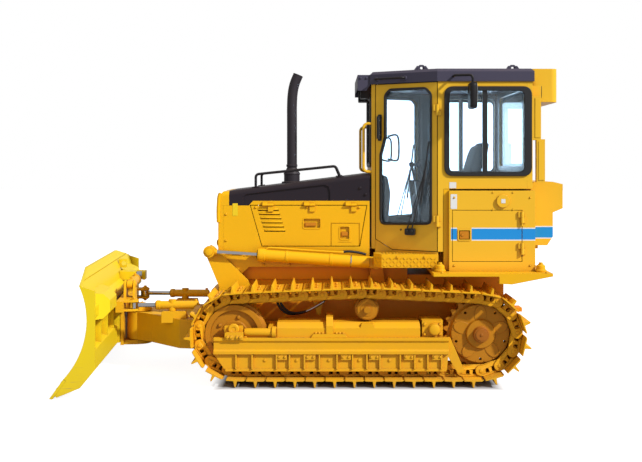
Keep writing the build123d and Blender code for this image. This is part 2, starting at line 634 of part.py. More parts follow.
with BuildPart() as hood_shell:
    with BuildSketch(Plane.XZ.offset(-HOOD_HALF)):
        with BuildLine():
            Polyline((HOOD_FRONT, HOOD_BAND - BAND_DROP), (HOOD_FRONT, HOOD_TOP_FRONT - 40),
                     (HOOD_FRONT - 30, hood_top_z(HOOD_FRONT - 30)), (HOOD_REAR, hood_top_z(HOOD_REAR)),
                     (HOOD_REAR, HOOD_BAND), *reversed(band_edge(0)), close=True)
        make_face()
    extrude(amount=2 * HOOD_HALF)
    fillet(hood_shell.edges().filter_by(Axis.X, tolerance=10).group_by(Axis.Z)[-1], HOOD_EDGE_R)
    with BuildSketch(Plane.XZ.offset(-(HOOD_HALF - HOOD_WALL))):
        with BuildLine():
            Polyline((HOOD_FRONT - 40, HOOD_BAND - BAND_DROP - 20), (HOOD_FRONT - 40, hood_top_z(HOOD_FRONT - 40) - 34),
                     (HOOD_REAR + 30, hood_top_z(HOOD_REAR + 30) - 34), (HOOD_REAR + 30, HOOD_BAND - BAND_DROP - 20), close=True)
        make_face()
    extrude(amount=2 * (HOOD_HALF - HOOD_WALL), mode=Mode.SUBTRACT)
    add(bar((EXHAUST_X, 0, HOOD_BAND), (EXHAUST_X, 0, 2000), EXHAUST_FOOT_R + SEAT_GAP), mode=Mode.SUBTRACT)
    # shallow recess along each side, between the handrail's feet
    add(both_sides(slab_y([(608, HOOD_BAND - BAND_DROP - 5), (608, 1615), (576, 1644), (-136, 1729), (-176, 1712), (-188, 1660),
                           (-188, HOOD_BAND - 5), (DROP_X[0], HOOD_BAND - 5), (DROP_X[1], HOOD_BAND - BAND_DROP - 5)],
                          HOOD_HALF - POCKET, HOOD_HALF + 10)), mode=Mode.SUBTRACT)
with BuildPart() as hood_top:
    add(hood_shell.part)
    add(block((NOSE_SEAM, HOOD_FRONT + 10), (-HOOD_HALF - 10, HOOD_HALF + 10), (HOOD_BOTTOM, 2000)), mode=Mode.SUBTRACT)
keep(hood_top.part, "hood_top")
with BuildPart() as hood_nose:
    add(hood_shell.part)
    add(block((NOSE_SEAM, HOOD_FRONT + 10), (-HOOD_HALF - 10, HOOD_HALF + 10), (HOOD_BOTTOM, 2000)), mode=Mode.INTERSECT)
keep(hood_nose.part, "hood_nose")


def door_front(z):
    """X of the engine door's oblique front seam at height z."""
    return 438 + (z - ENGINE_DOOR_LOW) * 104 / 367


def door_rear(z):
    """X of its rear seam at height z."""
    return -462 - (z - ENGINE_DOOR_LOW) * 66 / 380


def door_outline(inset):
    """Outline of the engine door's opening in X, Z, drawn in by inset."""
    bottom, top = ENGINE_DOOR_LOW + inset, ENGINE_DOOR_HIGH - inset
    return [(door_rear(bottom) + inset, bottom), (door_front(bottom) - inset, bottom),
            (door_front(top) - inset, top), (door_rear(top) + inset, top)]


engine_hinge_z = ENGINE_DOOR_HIGH + 2.0
with BuildPart() as hood_side:
    add(slab_y([(HOOD_FRONT - 33, HOOD_BOTTOM), (620, HOOD_BOTTOM), (551, SILL_TOP), (HOOD_REAR, SILL_TOP),
                (HOOD_REAR, HOOD_BAND), *reversed(band_edge(0)), (HOOD_FRONT - 33, HOOD_BAND - BAND_DROP)],
               HOOD_HALF - HOOD_WALL, HOOD_HALF))
    add(slab_y(door_outline(0), HOOD_HALF - 60, HOOD_HALF + 10), mode=Mode.SUBTRACT)
    # behind the shut line the frame stands back, so that the door's inner edge swings free
    add(slab_y(door_outline(-DOOR_REBATE), HOOD_HALF - 60, HOOD_HALF - 8), mode=Mode.SUBTRACT)
    # hinge leaves and pins of the engine door
    for knuckle_x in ENGINE_KNUCKLES:
        leaf_x = knuckle_x + KNUCKLE + SEAT_GAP
        add(block((leaf_x, leaf_x + KNUCKLE), (HOOD_HALF - 2, HOOD_HALF + HINGE_OUT), (engine_hinge_z, engine_hinge_z + 30)))
        add(bar((leaf_x, HOOD_HALF + HINGE_OUT, engine_hinge_z),
                (leaf_x + KNUCKLE, HOOD_HALF + HINGE_OUT, engine_hinge_z), KNUCKLE_R))
        add(bar((knuckle_x - 4, HOOD_HALF + HINGE_OUT, engine_hinge_z),
                (leaf_x + KNUCKLE, HOOD_HALF + HINGE_OUT, engine_hinge_z), HINGE_PIN_R))
    # inner flange that the sill carries
    add(block((HOOD_REAR, 540), (FRAME_HALF - 40, HOOD_HALF - HOOD_WALL), (SILL_TOP, SILL_TOP + 12)))
keep(both_sides(hood_side.part), "hood_sides")

with BuildPart() as engine_door:
    # an outer skin that fills the opening, and an inner pan drawn in so that it swings past the oblique seams
    add(slab_y(door_outline(PANEL_GAP), HOOD_HALF - 12, HOOD_HALF + 2))
    add(slab_y(door_outline(PANEL_GAP + DOOR_REBATE), HOOD_HALF - HOOD_WALL, HOOD_HALF - 11))
    # slanting stack of louvres
    for louvre in range(6):
        louvre_z = 1505 - 38 * louvre
        louvre_x = 475 - 12 * louvre
        add(slab_y([(louvre_x, louvre_z), (louvre_x - 190, louvre_z), (louvre_x - 194, louvre_z - 15),
                    (louvre_x - 4, louvre_z - 15)], HOOD_HALF - 60, HOOD_HALF + 20), mode=Mode.SUBTRACT)
    # latch recess
    add(block((-97, 54), (HOOD_HALF - 14, HOOD_HALF + 20), (1336, 1418)), mode=Mode.SUBTRACT)
    # hatch at the rear: a shallow groove round it, and its own latch recess
    for x, z in (((-200, -194), (ENGINE_DOOR_LOW, 1380)), ((-457, -451), (ENGINE_DOOR_LOW, 1380)), ((-457, -194), (1374, 1380))):
        add(block(x, (HOOD_HALF - 2, HOOD_HALF + 20), z), mode=Mode.SUBTRACT)
    add(block((-362, -280), (HOOD_HALF - 14, HOOD_HALF + 20), (1235, 1345)), mode=Mode.SUBTRACT)
    # hinge knuckles along the top edge
    for knuckle_x in ENGINE_KNUCKLES:
        add(block((knuckle_x, knuckle_x + KNUCKLE), (HOOD_HALF + 1, HOOD_HALF + HINGE_OUT), (ENGINE_DOOR_HIGH - 60, engine_hinge_z)))
        add(bar((knuckle_x, HOOD_HALF + HINGE_OUT, engine_hinge_z),
                (knuckle_x + KNUCKLE, HOOD_HALF + HINGE_OUT, engine_hinge_z), KNUCKLE_R))
        add(bar((knuckle_x - 5, HOOD_HALF + HINGE_OUT, engine_hinge_z),
                (knuckle_x + KNUCKLE + 5, HOOD_HALF + HINGE_OUT, engine_hinge_z), HINGE_PIN_R + PIN_GAP),
            mode=Mode.SUBTRACT)
keep(engine_door.part, "engine_door_left")
keep(on_right(engine_door.part), "engine_door_right")

with BuildPart() as radiator_guard:
    guard_top = HOOD_BAND - BAND_DROP
    add(block((HOOD_FRONT - 33, HOOD_FRONT + 13), (-HOOD_HALF, HOOD_HALF), (HOOD_BOTTOM, guard_top)))
    add(block((HOOD_FRONT - 50, HOOD_FRONT + 30), (-GRILLE_HALF, GRILLE_HALF), (HOOD_BOTTOM + 90, guard_top - 45)),
        mode=Mode.SUBTRACT)
    grille_step = 2 * GRILLE_HALF / (GRILLE_BARS + 1)
    for grille_bar in range(GRILLE_BARS):
        bar_y = -GRILLE_HALF + (grille_bar + 1) * grille_step
        add(block((HOOD_FRONT - 20, HOOD_FRONT + 6), (bar_y - 9, bar_y + 9), (HOOD_BOTTOM + 85, guard_top - 40)))
keep(radiator_guard.part, "radiator_guard")

with BuildPart() as exhaust:
    foot = hood_top_z(EXHAUST_X)
    add(bar((EXHAUST_X, 0, foot - 60), (EXHAUST_X, 0, foot + 90), EXHAUST_FOOT_R))
    knee = (EXHAUST_X, 0, foot + EXHAUST_KNEE)
    mouth = (EXHAUST_X - 90, 0, foot + EXHAUST_KNEE + 150)
    add(bent_tube([(EXHAUST_X, 0, foot + 60), knee, mouth], 110, EXHAUST_R))
    with BuildSketch(Plane(origin=mouth, z_dir=Vector(*mouth) - Vector(*knee))):
        Circle(EXHAUST_R - 4)
    extrude(amount=-180, mode=Mode.SUBTRACT)
keep(exhaust.part, "exhaust")

# ---------------------------------------------------------------- deck, steps and cab floor
with BuildPart() as deck:
    add(block((-2102, -1076), (230, DECK_HALF), (DECK_TOP - DECK_PLATE, DECK_TOP)))
    # step box under the door, with a web that joins it to the deck
    add(slab_z([(-1130, 565), (-579, 565), (-579, 640), (-640, 750), (-1130, 750)], STEP_BOTTOM, STEP_TOP))
    add(slab_z([(-1120, 575), (-650, 575), (-650, 655), (-700, 740), (-1120, 740)], STEP_BOTTOM - 10, STEP_TOP - 12),
        mode=Mode.SUBTRACT)
    add(block((-1130, -1090), (565, 750), (DECK_TOP - DECK_PLATE, STEP_BOTTOM + 4)))
    # sloping gusset under the deck's rear corner
    add(slab_y([(-2102, DECK_TOP - DECK_PLATE + 2), (-1640, DECK_TOP - DECK_PLATE + 2), (-1640, 890), (-1750, 885)],
               DECK_HALF - 36, DECK_HALF))
    # cab mounts
    for mount_x, mount_y in CAB_MOUNTS:
        add(bar((mount_x, mount_y, DECK_TOP), (mount_x, mount_y, CAB_FLOOR - SEAT_GAP), 46))
keep(both_sides(deck.part), "deck")

inner_front = CAB_FRONT - WALL - PANEL_GAP
with BuildPart() as cab_floor:
    add(slab_z([(inner_front, -CAB_FRONT_HALF + 60), (inner_front, CAB_FRONT_HALF - 60), (DOOR_HINGE_X, 670),
                (DOOR_HINGE_X, CAB_TUB_HALF - WALL), (-2090, CAB_TUB_HALF - WALL),
                (-2090, -CAB_TUB_HALF + WALL), (DOOR_HINGE_X, -CAB_TUB_HALF + WALL),
                (DOOR_HINGE_X, -670)], CAB_FLOOR, CAB_FLOOR + FLOOR_PLATE))
keep(cab_floor.part, "cab_floor")

# ---------------------------------------------------------------- cab
floor_top = CAB_FLOOR + FLOOR_PLATE
with BuildPart() as cab_front:
    add(block((CAB_FRONT - WALL, CAB_FRONT), (-CAB_FRONT_HALF, CAB_FRONT_HALF), (CAB_FLOOR, ROOF_BOTTOM)))
    with BuildSketch(Plane.YZ.offset(CAB_FRONT - WALL - 10)):
        with Locations((0, (WINDSHIELD_LOW + WINDSHIELD_HIGH) / 2)):
            RectangleRounded(2 * WINDSHIELD_HALF, WINDSHIELD_HIGH - WINDSHIELD_LOW, WINDOW_CORNER)
    extrude(amount=WALL + 20, mode=Mode.SUBTRACT)
    # corner posts beside the doors
    for side in (-1, 1):
        add(slab_z([(CAB_FRONT, side * (CAB_FRONT_HALF - 10)), (CAB_FRONT, side * CAB_FRONT_HALF),
                    (DOOR_FRONT_X, side * DOOR_FRONT_Y), (DOOR_FRONT_X - 22, side * (DOOR_FRONT_Y - 38)),
                    (CAB_FRONT - WALL, side * (CAB_FRONT_HALF - 30))], CAB_FLOOR, ROOF_BOTTOM))
keep(cab_front.part, "cab_front")

with BuildPart() as cab_side:
    # upper wall, shelf and lower tub wall, seen along the machine
    add(slab_x([(CAB_HALF, ROOF_BOTTOM), (CAB_HALF - WALL, ROOF_BOTTOM), (CAB_HALF - WALL, CAB_SHELF + WALL),
                (CAB_TUB_HALF - WALL, CAB_SHELF + WALL), (CAB_TUB_HALF - WALL, CAB_FLOOR),
                (CAB_TUB_HALF, CAB_FLOOR), (CAB_TUB_HALF, CAB_SHELF), (CAB_HALF, CAB_SHELF)],
               CAB_REAR + WALL, DOOR_HINGE_X - PANEL_GAP))
    # post behind the door, below the shelf
    add(block((DOOR_HINGE_X - PANEL_GAP - WALL, DOOR_HINGE_X - PANEL_GAP), (CAB_TUB_HALF - WALL, CAB_HALF),
              (CAB_FLOOR, CAB_SHELF + WALL)))
    with BuildSketch(Plane.XZ.offset(-CAB_HALF - 10)):
        with Locations(((SIDE_WINDOW_REAR + SIDE_WINDOW_FRONT) / 2, (SIDE_WINDOW_LOW + SIDE_WINDOW_HIGH) / 2)):
            RectangleRounded(SIDE_WINDOW_FRONT - SIDE_WINDOW_REAR, SIDE_WINDOW_HIGH - SIDE_WINDOW_LOW, WINDOW_CORNER)
    extrude(amount=WALL + 20, mode=Mode.SUBTRACT)
    add(block((MULLION_X - 18, MULLION_X + 18), (CAB_HALF - WALL, CAB_HALF), (SIDE_WINDOW_LOW, SIDE_WINDOW_HIGH)))
    # hinge leaves and pins of the door
    for knuckle_z in DOOR_KNUCKLES:
        leaf_z = knuckle_z - 28 - SEAT_GAP
        add(block((DOOR_HINGE_X - PANEL_GAP - 30, DOOR_HINGE_X), (CAB_HALF - 2, CAB_HALF + HINGE_OUT), (leaf_z - 40, leaf_z)))
        add(bar((DOOR_HINGE_X, CAB_HALF + HINGE_OUT, leaf_z - 40), (DOOR_HINGE_X, CAB_HALF + HINGE_OUT, leaf_z), KNUCKLE_R))
        add(bar((DOOR_HINGE_X, CAB_HALF + HINGE_OUT, leaf_z - 40), (DOOR_HINGE_X, CAB_HALF + HINGE_OUT, knuckle_z + 30),
                HINGE_PIN_R))
keep(both_sides(cab_side.part), "cab_sides")

with BuildPart() as cab_rear:
    add(block((CAB_REAR, CAB_REAR + WALL), (-CAB_HALF, CAB_HALF), (CAB_SHELF, ROOF_BOTTOM)))
    add(block((CAB_REAR, CAB_REAR + WALL), (-CAB_TUB_HALF, CAB_TUB_HALF), (floor_top, CAB_SHELF)))
    with BuildSketch(Plane.YZ.offset(CAB_REAR - 10)):
        with Locations((0, (REAR_WINDOW_LOW + SIDE_WINDOW_HIGH) / 2)):
            RectangleRounded(2 * REAR_WINDOW_HALF, SIDE_WINDOW_HIGH - REAR_WINDOW_LOW, WINDOW_CORNER)
    extrude(amount=WALL + 20, mode=Mode.SUBTRACT)
    # stepped channel outside each rear corner
    for low in (CAB_HALF - 52, -CAB_HALF + 2):
        add(block((CAB_REAR - 75, CAB_REAR + 2), (low, low + 50), (REAR_STEP, ROOF_BOTTOM - 130)))
        add(block((CAB_REAR - 110, CAB_REAR - 35), (low, low + 50), (CAB_SHELF + 60, REAR_STEP + 8)))
keep(cab_rear.part, "cab_rear")

with BuildPart() as cab_roof:
    over = 14.0
    with BuildSketch(Plane.XY.offset(ROOF_BOTTOM)):
        with BuildLine():
            Polyline((CAB_FRONT + over, -CAB_FRONT_HALF - over), (CAB_FRONT + over, CAB_FRONT_HALF + over),
                     (DOOR_HINGE_X, CAB_HALF + over), (CAB_REAR - over, CAB_HALF + over),
                     (CAB_REAR - over, -CAB_HALF - over), (DOOR_HINGE_X, -CAB_HALF - over), close=True)
        make_face()
    extrude(amount=ROOF_TOP - ROOF_BOTTOM)
    chamfer(cab_roof.faces().sort_by(Axis.Z)[-1].edges(), 26)
    # visor over the windshield, with a gusset at each end
    visor_top = ROOF_TOP - 26
    add(block((CAB_FRONT, CAB_FRONT + VISOR), (-CAB_FRONT_HALF, CAB_FRONT_HALF), (visor_top - 14, visor_top)))
    add(block((CAB_FRONT + VISOR - 10, CAB_FRONT + VISOR), (-CAB_FRONT_HALF, CAB_FRONT_HALF), (visor_top - 110, visor_top)))
    gusset = [(CAB_FRONT + 6, visor_top), (CAB_FRONT + VISOR, visor_top), (CAB_FRONT + VISOR, visor_top - 144),
              (CAB_FRONT + 48, visor_top - 144), (CAB_FRONT + 6, ROOF_BOTTOM + 2)]
    add(both_sides(slab_y(gusset, CAB_FRONT_HALF - 10, CAB_FRONT_HALF)))
    # lifting eyes
    for eye_x, eye_y in LIFT_EYES:
        for side in (-1, 1):
            with BuildSketch(Plane.XZ.offset(-side * eye_y - EYE_PLATE / 2)):
                with BuildLine():
                    Polyline((eye_x - 52, ROOF_TOP - 30), (eye_x + 52, ROOF_TOP - 30), (eye_x + 30, EYE_TOP - 12),
                             (eye_x + 16, EYE_TOP), (eye_x - 16, EYE_TOP), (eye_x - 30, EYE_TOP - 12), close=True)
                make_face()
                with Locations((eye_x, EYE_Z)):
                    Circle(EYE_R, mode=Mode.SUBTRACT)
            extrude(amount=EYE_PLATE)
keep(cab_roof.part, "cab_roof")

with BuildPart() as roof_box:
    add(block((CAB_REAR - 280, CAB_REAR - over), (-520, 520), (ROOF_TOP - 281, ROOF_TOP + 21)))
    fillet(roof_box.edges().filter_by(Axis.Z), 60)
keep(roof_box.part, "roof_box")

# ---------------------------------------------------------------- window panes
with BuildPart() as cab_glass:
    with BuildSketch(Plane.YZ.offset(CAB_FRONT - WALL / 2)):
        with Locations((0, (WINDSHIELD_LOW + WINDSHIELD_HIGH) / 2)):
            RectangleRounded(2 * (WINDSHIELD_HALF - SEAT_GAP), WINDSHIELD_HIGH - WINDSHIELD_LOW - 2 * SEAT_GAP,
                             WINDOW_CORNER)
    extrude(amount=GLASS)
    with BuildSketch(Plane.YZ.offset(CAB_REAR + WALL / 2)):
        with Locations((0, (REAR_WINDOW_LOW + SIDE_WINDOW_HIGH) / 2)):
            RectangleRounded(2 * (REAR_WINDOW_HALF - SEAT_GAP), SIDE_WINDOW_HIGH - REAR_WINDOW_LOW - 2 * SEAT_GAP,
                             WINDOW_CORNER)
    extrude(amount=GLASS)
    for side in (-1, 1):
        for low, high in ((SIDE_WINDOW_REAR, MULLION_X - 18), (MULLION_X + 18, SIDE_WINDOW_FRONT)):
            with BuildSketch(Plane.XZ.offset(-side * (CAB_HALF - WALL / 2) - GLASS / 2)):
                with Locations(((low + high) / 2, (SIDE_WINDOW_LOW + SIDE_WINDOW_HIGH) / 2)):
                    RectangleRounded(high - low - 2 * SEAT_GAP, SIDE_WINDOW_HIGH - SIDE_WINDOW_LOW - 2 * SEAT_GAP,
                                     WINDOW_CORNER)
            extrude(amount=GLASS)
keep(cab_glass.part, "cab_glass")

# ---------------------------------------------------------------- cab doors
# The door's own plane: its first axis runs from the hinge towards the front edge, its second upwards.
door_way = Vector(DOOR_FRONT_X - DOOR_HINGE_X, DOOR_FRONT_Y - CAB_HALF, 0).normalized()
door_in = Vector(door_way.Y, -door_way.X, 0)
door_plane = Plane(origin=(DOOR_HINGE_X, CAB_HALF, 0), x_dir=door_way, z_dir=door_in)
DOOR_LENGTH = hypot(DOOR_FRONT_X - DOOR_HINGE_X, DOOR_FRONT_Y - CAB_HALF)
door_end = DOOR_LENGTH - DOOR_END_GAP
door_top = ROOF_BOTTOM - PANEL_GAP
# how far the mitre shortens the inner face at the hinge
mitre = -DOOR_WALL * door_in.X / door_way.X
HINGE_Y = CAB_HALF + HINGE_OUT

window_outline = [(60, 1394), (552, 1378), (552, 2003), (506, 2166), (506, 2540), (462, 2590), (112, 2590), (60, 2540)]


def door_point(u, depth):
    """X, Y of a point on the door, u from its hinge and depth inwards from its outer face."""
    place = Vector(DOOR_HINGE_X, CAB_HALF, 0) + door_way * u + door_in * depth
    return (place.X, place.Y)


with BuildPart() as cab_door:
    add(slab_z([door_point(0, 0), door_point(door_end, 0), door_point(door_end, DOOR_WALL),
                door_point(mitre, DOOR_WALL)], CAB_FLOOR + 4, door_top))
    # the lower front corner rises over the lift cylinder
    with BuildSketch(door_plane.offset(-5)):
        with BuildLine():
            Polyline((440, CAB_FLOOR - 10), (440, CAB_FLOOR + 6), (DOOR_LENGTH, 1242), (DOOR_LENGTH, CAB_FLOOR - 10), close=True)
        make_face()
        with BuildLine():
            Polyline(*window_outline, close=True)
        make_face()
    extrude(amount=DOOR_WALL + 10, mode=Mode.SUBTRACT)
    # handle
    for handle_z in (2180, 2320):
        add(bar((*door_point(560, 5), handle_z), (*door_point(560, -38), handle_z), 9))
    add(bar((*door_point(560, -34), 2160), (*door_point(560, -34), 2340), 11))
    # hinge knuckles
    for knuckle_z in DOOR_KNUCKLES:
        add(block((DOOR_HINGE_X + 1, DOOR_HINGE_X + 34), (CAB_HALF - 26, HINGE_Y), (knuckle_z - 28, knuckle_z + 28)))
        add(bar((DOOR_HINGE_X, HINGE_Y, knuckle_z - 28), (DOOR_HINGE_X, HINGE_Y, knuckle_z + 28), KNUCKLE_R))
        add(bar((DOOR_HINGE_X, HINGE_Y, knuckle_z - 40), (DOOR_HINGE_X, HINGE_Y, knuckle_z + 40), HINGE_PIN_R + PIN_GAP),
            mode=Mode.SUBTRACT)
keep(cab_door.part, "cab_door_left")
keep(on_right(cab_door.part), "cab_door_right")

with BuildPart() as door_glass:
    with BuildSketch(door_plane.offset(DOOR_WALL / 2)):
        with BuildLine():
            Polyline(*window_outline, close=True)
        make_face()
        offset(amount=-SEAT_GAP, kind=Kind.INTERSECTION, mode=Mode.REPLACE)
    extrude(amount=GLASS)
keep(door_glass.part, "door_glass_left")
keep(on_right(door_glass.part), "door_glass_right")

# ---------------------------------------------------------------- boxes beside the seat
with BuildPart() as side_box:
    add(block((BOX_REAR, BOX_FRONT), (CAB_TUB_HALF + SEAT_GAP, BOX_FACE), (DECK_TOP, BOX_TOP)))
    # bay behind the hinged door
    add(block((BOX_DOOR_REAR - 4, BOX_DOOR_FRONT + 4), (BOX_FACE - 190, BOX_FACE + 10), (BOX_DOOR_LOW - 4, BOX_DOOR_HIGH + 4)),
        mode=Mode.SUBTRACT)
    add(block((BOX_DOOR_REAR - 30, BOX_DOOR_REAR - 4), (BOX_FACE - 2, BOX_FACE + HINGE_OUT), (BOX_DOOR_LOW + 60, BOX_DOOR_LOW + 110)))
    add(block((BOX_DOOR_REAR - 30, BOX_DOOR_REAR - 4), (BOX_FACE - 2, BOX_FACE + HINGE_OUT), (BOX_DOOR_HIGH - 110, BOX_DOOR_HIGH - 60)))
    for pin_z in (BOX_DOOR_LOW + 60, BOX_DOOR_HIGH - 110):
        add(bar((BOX_DOOR_REAR, BOX_FACE + HINGE_OUT, pin_z), (BOX_DOOR_REAR, BOX_FACE + HINGE_OUT, pin_z + 50), KNUCKLE_R))
        add(bar((BOX_DOOR_REAR, BOX_FACE + HINGE_OUT, pin_z), (BOX_DOOR_REAR, BOX_FACE + HINGE_OUT, pin_z + 105), HINGE_PIN_R))
        add(block((BOX_DOOR_REAR - 30, BOX_DOOR_REAR), (BOX_FACE - 2, BOX_FACE + HINGE_OUT), (pin_z, pin_z + 50)))
    # filler cap
    add(bar((FILLER_X, BOX_FACE - 5, FILLER_Z), (FILLER_X, BOX_FACE + 22, FILLER_Z), 56))
keep(side_box.part, "side_box_left")
keep(on_right(side_box.part), "side_box_right")

with BuildPart() as box_door:
    add(block((BOX_DOOR_REAR + 2, BOX_DOOR_FRONT), (BOX_FACE - 24, BOX_FACE), (BOX_DOOR_LOW, BOX_DOOR_HIGH)))
    # latch recess
    add(block((LATCH_X - 57, LATCH_X + 57), (BOX_FACE - 12, BOX_FACE + 5), (LATCH_Z - 46, LATCH_Z + 46)),
        mode=Mode.SUBTRACT)
    for pin_z in (BOX_DOOR_LOW + 60, BOX_DOOR_HIGH - 110):
        low, high = pin_z + 50 + SEAT_GAP, pin_z + 100
        add(block((BOX_DOOR_REAR, BOX_DOOR_REAR + 34), (BOX_FACE - 10, BOX_FACE + HINGE_OUT), (low, high)))
        add(bar((BOX_DOOR_REAR, BOX_FACE + HINGE_OUT, low), (BOX_DOOR_REAR, BOX_FACE + HINGE_OUT, high), KNUCKLE_R))
        add(bar((BOX_DOOR_REAR, BOX_FACE + HINGE_OUT, low - 5), (BOX_DOOR_REAR, BOX_FACE + HINGE_OUT, high + 10),
                HINGE_PIN_R + PIN_GAP), mode=Mode.SUBTRACT)
keep(box_door.part, "box_door_left")
keep(on_right(box_door.part), "box_door_right")

# ---------------------------------------------------------------- fuel tank, seat and controls
with BuildPart() as fuel_tank:
    foot = CAB_FLOOR + FLOOR_PLATE
    add(slab_y([(TANK_FRONT, foot), (TANK_REAR + 52, foot), (TANK_REAR, foot + 79), (TANK_REAR, foot + 296),
                (TANK_REAR - TANK_FLARE, foot + 334), (TANK_REAR - TANK_FLARE, TANK_TOP - 21), (TANK_REAR, TANK_TOP),
                (TANK_FRONT - 30, TANK_TOP), (TANK_FRONT, TANK_TOP - 40)], -TANK_HALF, TANK_HALF))
keep(fuel_tank.part, "fuel_tank")

seat_z = floor_top + SEAT_RISE
with BuildPart() as seat:
    low = seat_z + SEAT_GAP
    add(slab_y([(SEAT_X, low), (SEAT_X + 430, low), (SEAT_X + 470, seat_z + 21), (SEAT_X + 490, seat_z + 121),
                (SEAT_X + 440, seat_z + 141), (SEAT_X + 20, seat_z + 111)], -255, 255))
    add(slab_y([(SEAT_X - 10, seat_z + 61), (SEAT_X + 20, seat_z + 111), (SEAT_X - 130, seat_z + 571),
                (SEAT_X - 230, seat_z + 581), (SEAT_X - 150, seat_z + 61)], -240, 240))
keep(seat.part, "seat")

with BuildPart() as controls:
    # seat pedestal, dash and the two side consoles with their levers
    add(slab_y([(SEAT_X - 100, floor_top), (SEAT_X + 380, floor_top), (SEAT_X + 420, seat_z), (SEAT_X - 100, seat_z)],
               -190, 190))
    add(slab_y([(inner_front - 8, floor_top), (inner_front - 8, floor_top + 653), (inner_front - 100, floor_top + 613),
                (inner_front - 130, floor_top + 463), (inner_front - 90, floor_top)], -290, 290))
    console_out = CAB_TUB_HALF - WALL - 10
    console_top = floor_top + 573
    for side in (-1, 1):
        low, high = sorted((side * (console_out - 130), side * console_out))
        lever_y = side * (console_out - 65)
        add(slab_y([(SEAT_X, floor_top), (SEAT_X + 420, floor_top), (SEAT_X + 500, console_top), (SEAT_X, console_top)],
                   low, high))
        add(bar((SEAT_X + 430, lever_y, console_top - 10), (SEAT_X + 460, lever_y, console_top + 140), 13))
        with Locations((SEAT_X + 463, lever_y, console_top + 155)):
            Sphere(28)
keep(controls.part, "controls")

# ---------------------------------------------------------------- handrails, lamps and mirrors
RAIL_R = 12.0
GRAB_OUT, GRAB_TOP, GRAB_BOTTOM, GRAB_R = 72.0, 2290.0, 1850.0, 13.0
RAIL_RISE = (120.0, 105.0)   # front and rear height over the hood
RAIL_LEAN = 40.0             # how far the rear post leans back
RAIL_BEND = 32.0
GRIP_START, GRIP_END, GRIP_OUT = 66.0, 348.0, 45.0   # along the roof's edge, and out from it
with BuildPart() as handrails:
    # on the hood
    foot = SEAT_GAP + RAIL_R * tan(radians(HOOD_SLOPE))
    lean_foot = foot + RAIL_R * RAIL_LEAN / hypot(RAIL_LEAN, RAIL_RISE[1])
    rail_foot_x = RAIL_REAR_X - RAIL_LEAN
    add(bent_tube([(RAIL_FRONT_X, RAIL_Y, hood_top_z(RAIL_FRONT_X) + foot),
                   (RAIL_FRONT_X, RAIL_Y, hood_top_z(RAIL_FRONT_X) + RAIL_RISE[0]),
                   (RAIL_REAR_X, RAIL_Y, hood_top_z(RAIL_REAR_X) + RAIL_RISE[1]),
                   (rail_foot_x, RAIL_Y, hood_top_z(rail_foot_x) + lean_foot)], RAIL_BEND, RAIL_R))
    # grip along the roof's oblique edge, over each door
    edge_way = Vector(DOOR_HINGE_X - CAB_FRONT - over, CAB_HALF - CAB_FRONT_HALF, 0).normalized()
    edge_out = Vector(edge_way.Y, -edge_way.X, 0)
    grip = []
    for run, out in ((GRIP_START, SEAT_GAP), (GRIP_START, GRIP_OUT), (GRIP_END, GRIP_OUT), (GRIP_END, SEAT_GAP)):
        place = Vector(CAB_FRONT + over, CAB_FRONT_HALF + over, 0) + edge_way * run + edge_out * out
        grip.append((place.X, place.Y, ROOF_BOTTOM + 42))
    add(bent_tube(grip, 24, GRAB_R - 3))
keep(both_sides(handrails.part), "handrails")

with BuildPart() as grab_handles:
    # on the cab's front corners
    grab_y = CAB_FRONT_HALF - 16
    grab_x = CAB_FRONT + GRAB_OUT
    add(bent_tube([(CAB_FRONT, grab_y, GRAB_TOP), (grab_x, grab_y, GRAB_TOP), (grab_x, grab_y, GRAB_BOTTOM),
                   (CAB_FRONT, grab_y, GRAB_BOTTOM)], 40, GRAB_R))
keep(both_sides(grab_handles.part), "grab_handles")

with BuildPart() as lamps:
    for lamp_x, lamp_y, lamp_z in LAMPS:
        add(block((lamp_x - 45, lamp_x + 45), (lamp_y - 80, lamp_y + 80), (lamp_z - 55, lamp_z + 55)))
keep(both_sides(lamps.part), "lamps")

with BuildPart() as mirrors:
    add(bent_tube([(MIRROR_X + 150, CAB_HALF + over, 2690), (MIRROR_X + 150, CAB_HALF + 110, 2690), (MIRROR_X, CAB_HALF + 150, 2690),
              (MIRROR_X, CAB_HALF + 150, 2600)], 30, 11))
    add(block((MIRROR_X - 22, MIRROR_X + 22), (CAB_HALF + 60, CAB_HALF + 240), (2400, 2620)))
keep(both_sides(mirrors.part), "mirrors")

# ---------------------------------------------------------------- frame that carries the blade
arm_slope = (NOSE_Z - LIFT_PIVOT_Z) / (NOSE_X - LIFT_PIVOT_X)


def arm_z(x):
    """Height of the arms' centre line at x."""
    return LIFT_PIVOT_Z + arm_slope * (x - LIFT_PIVOT_X)


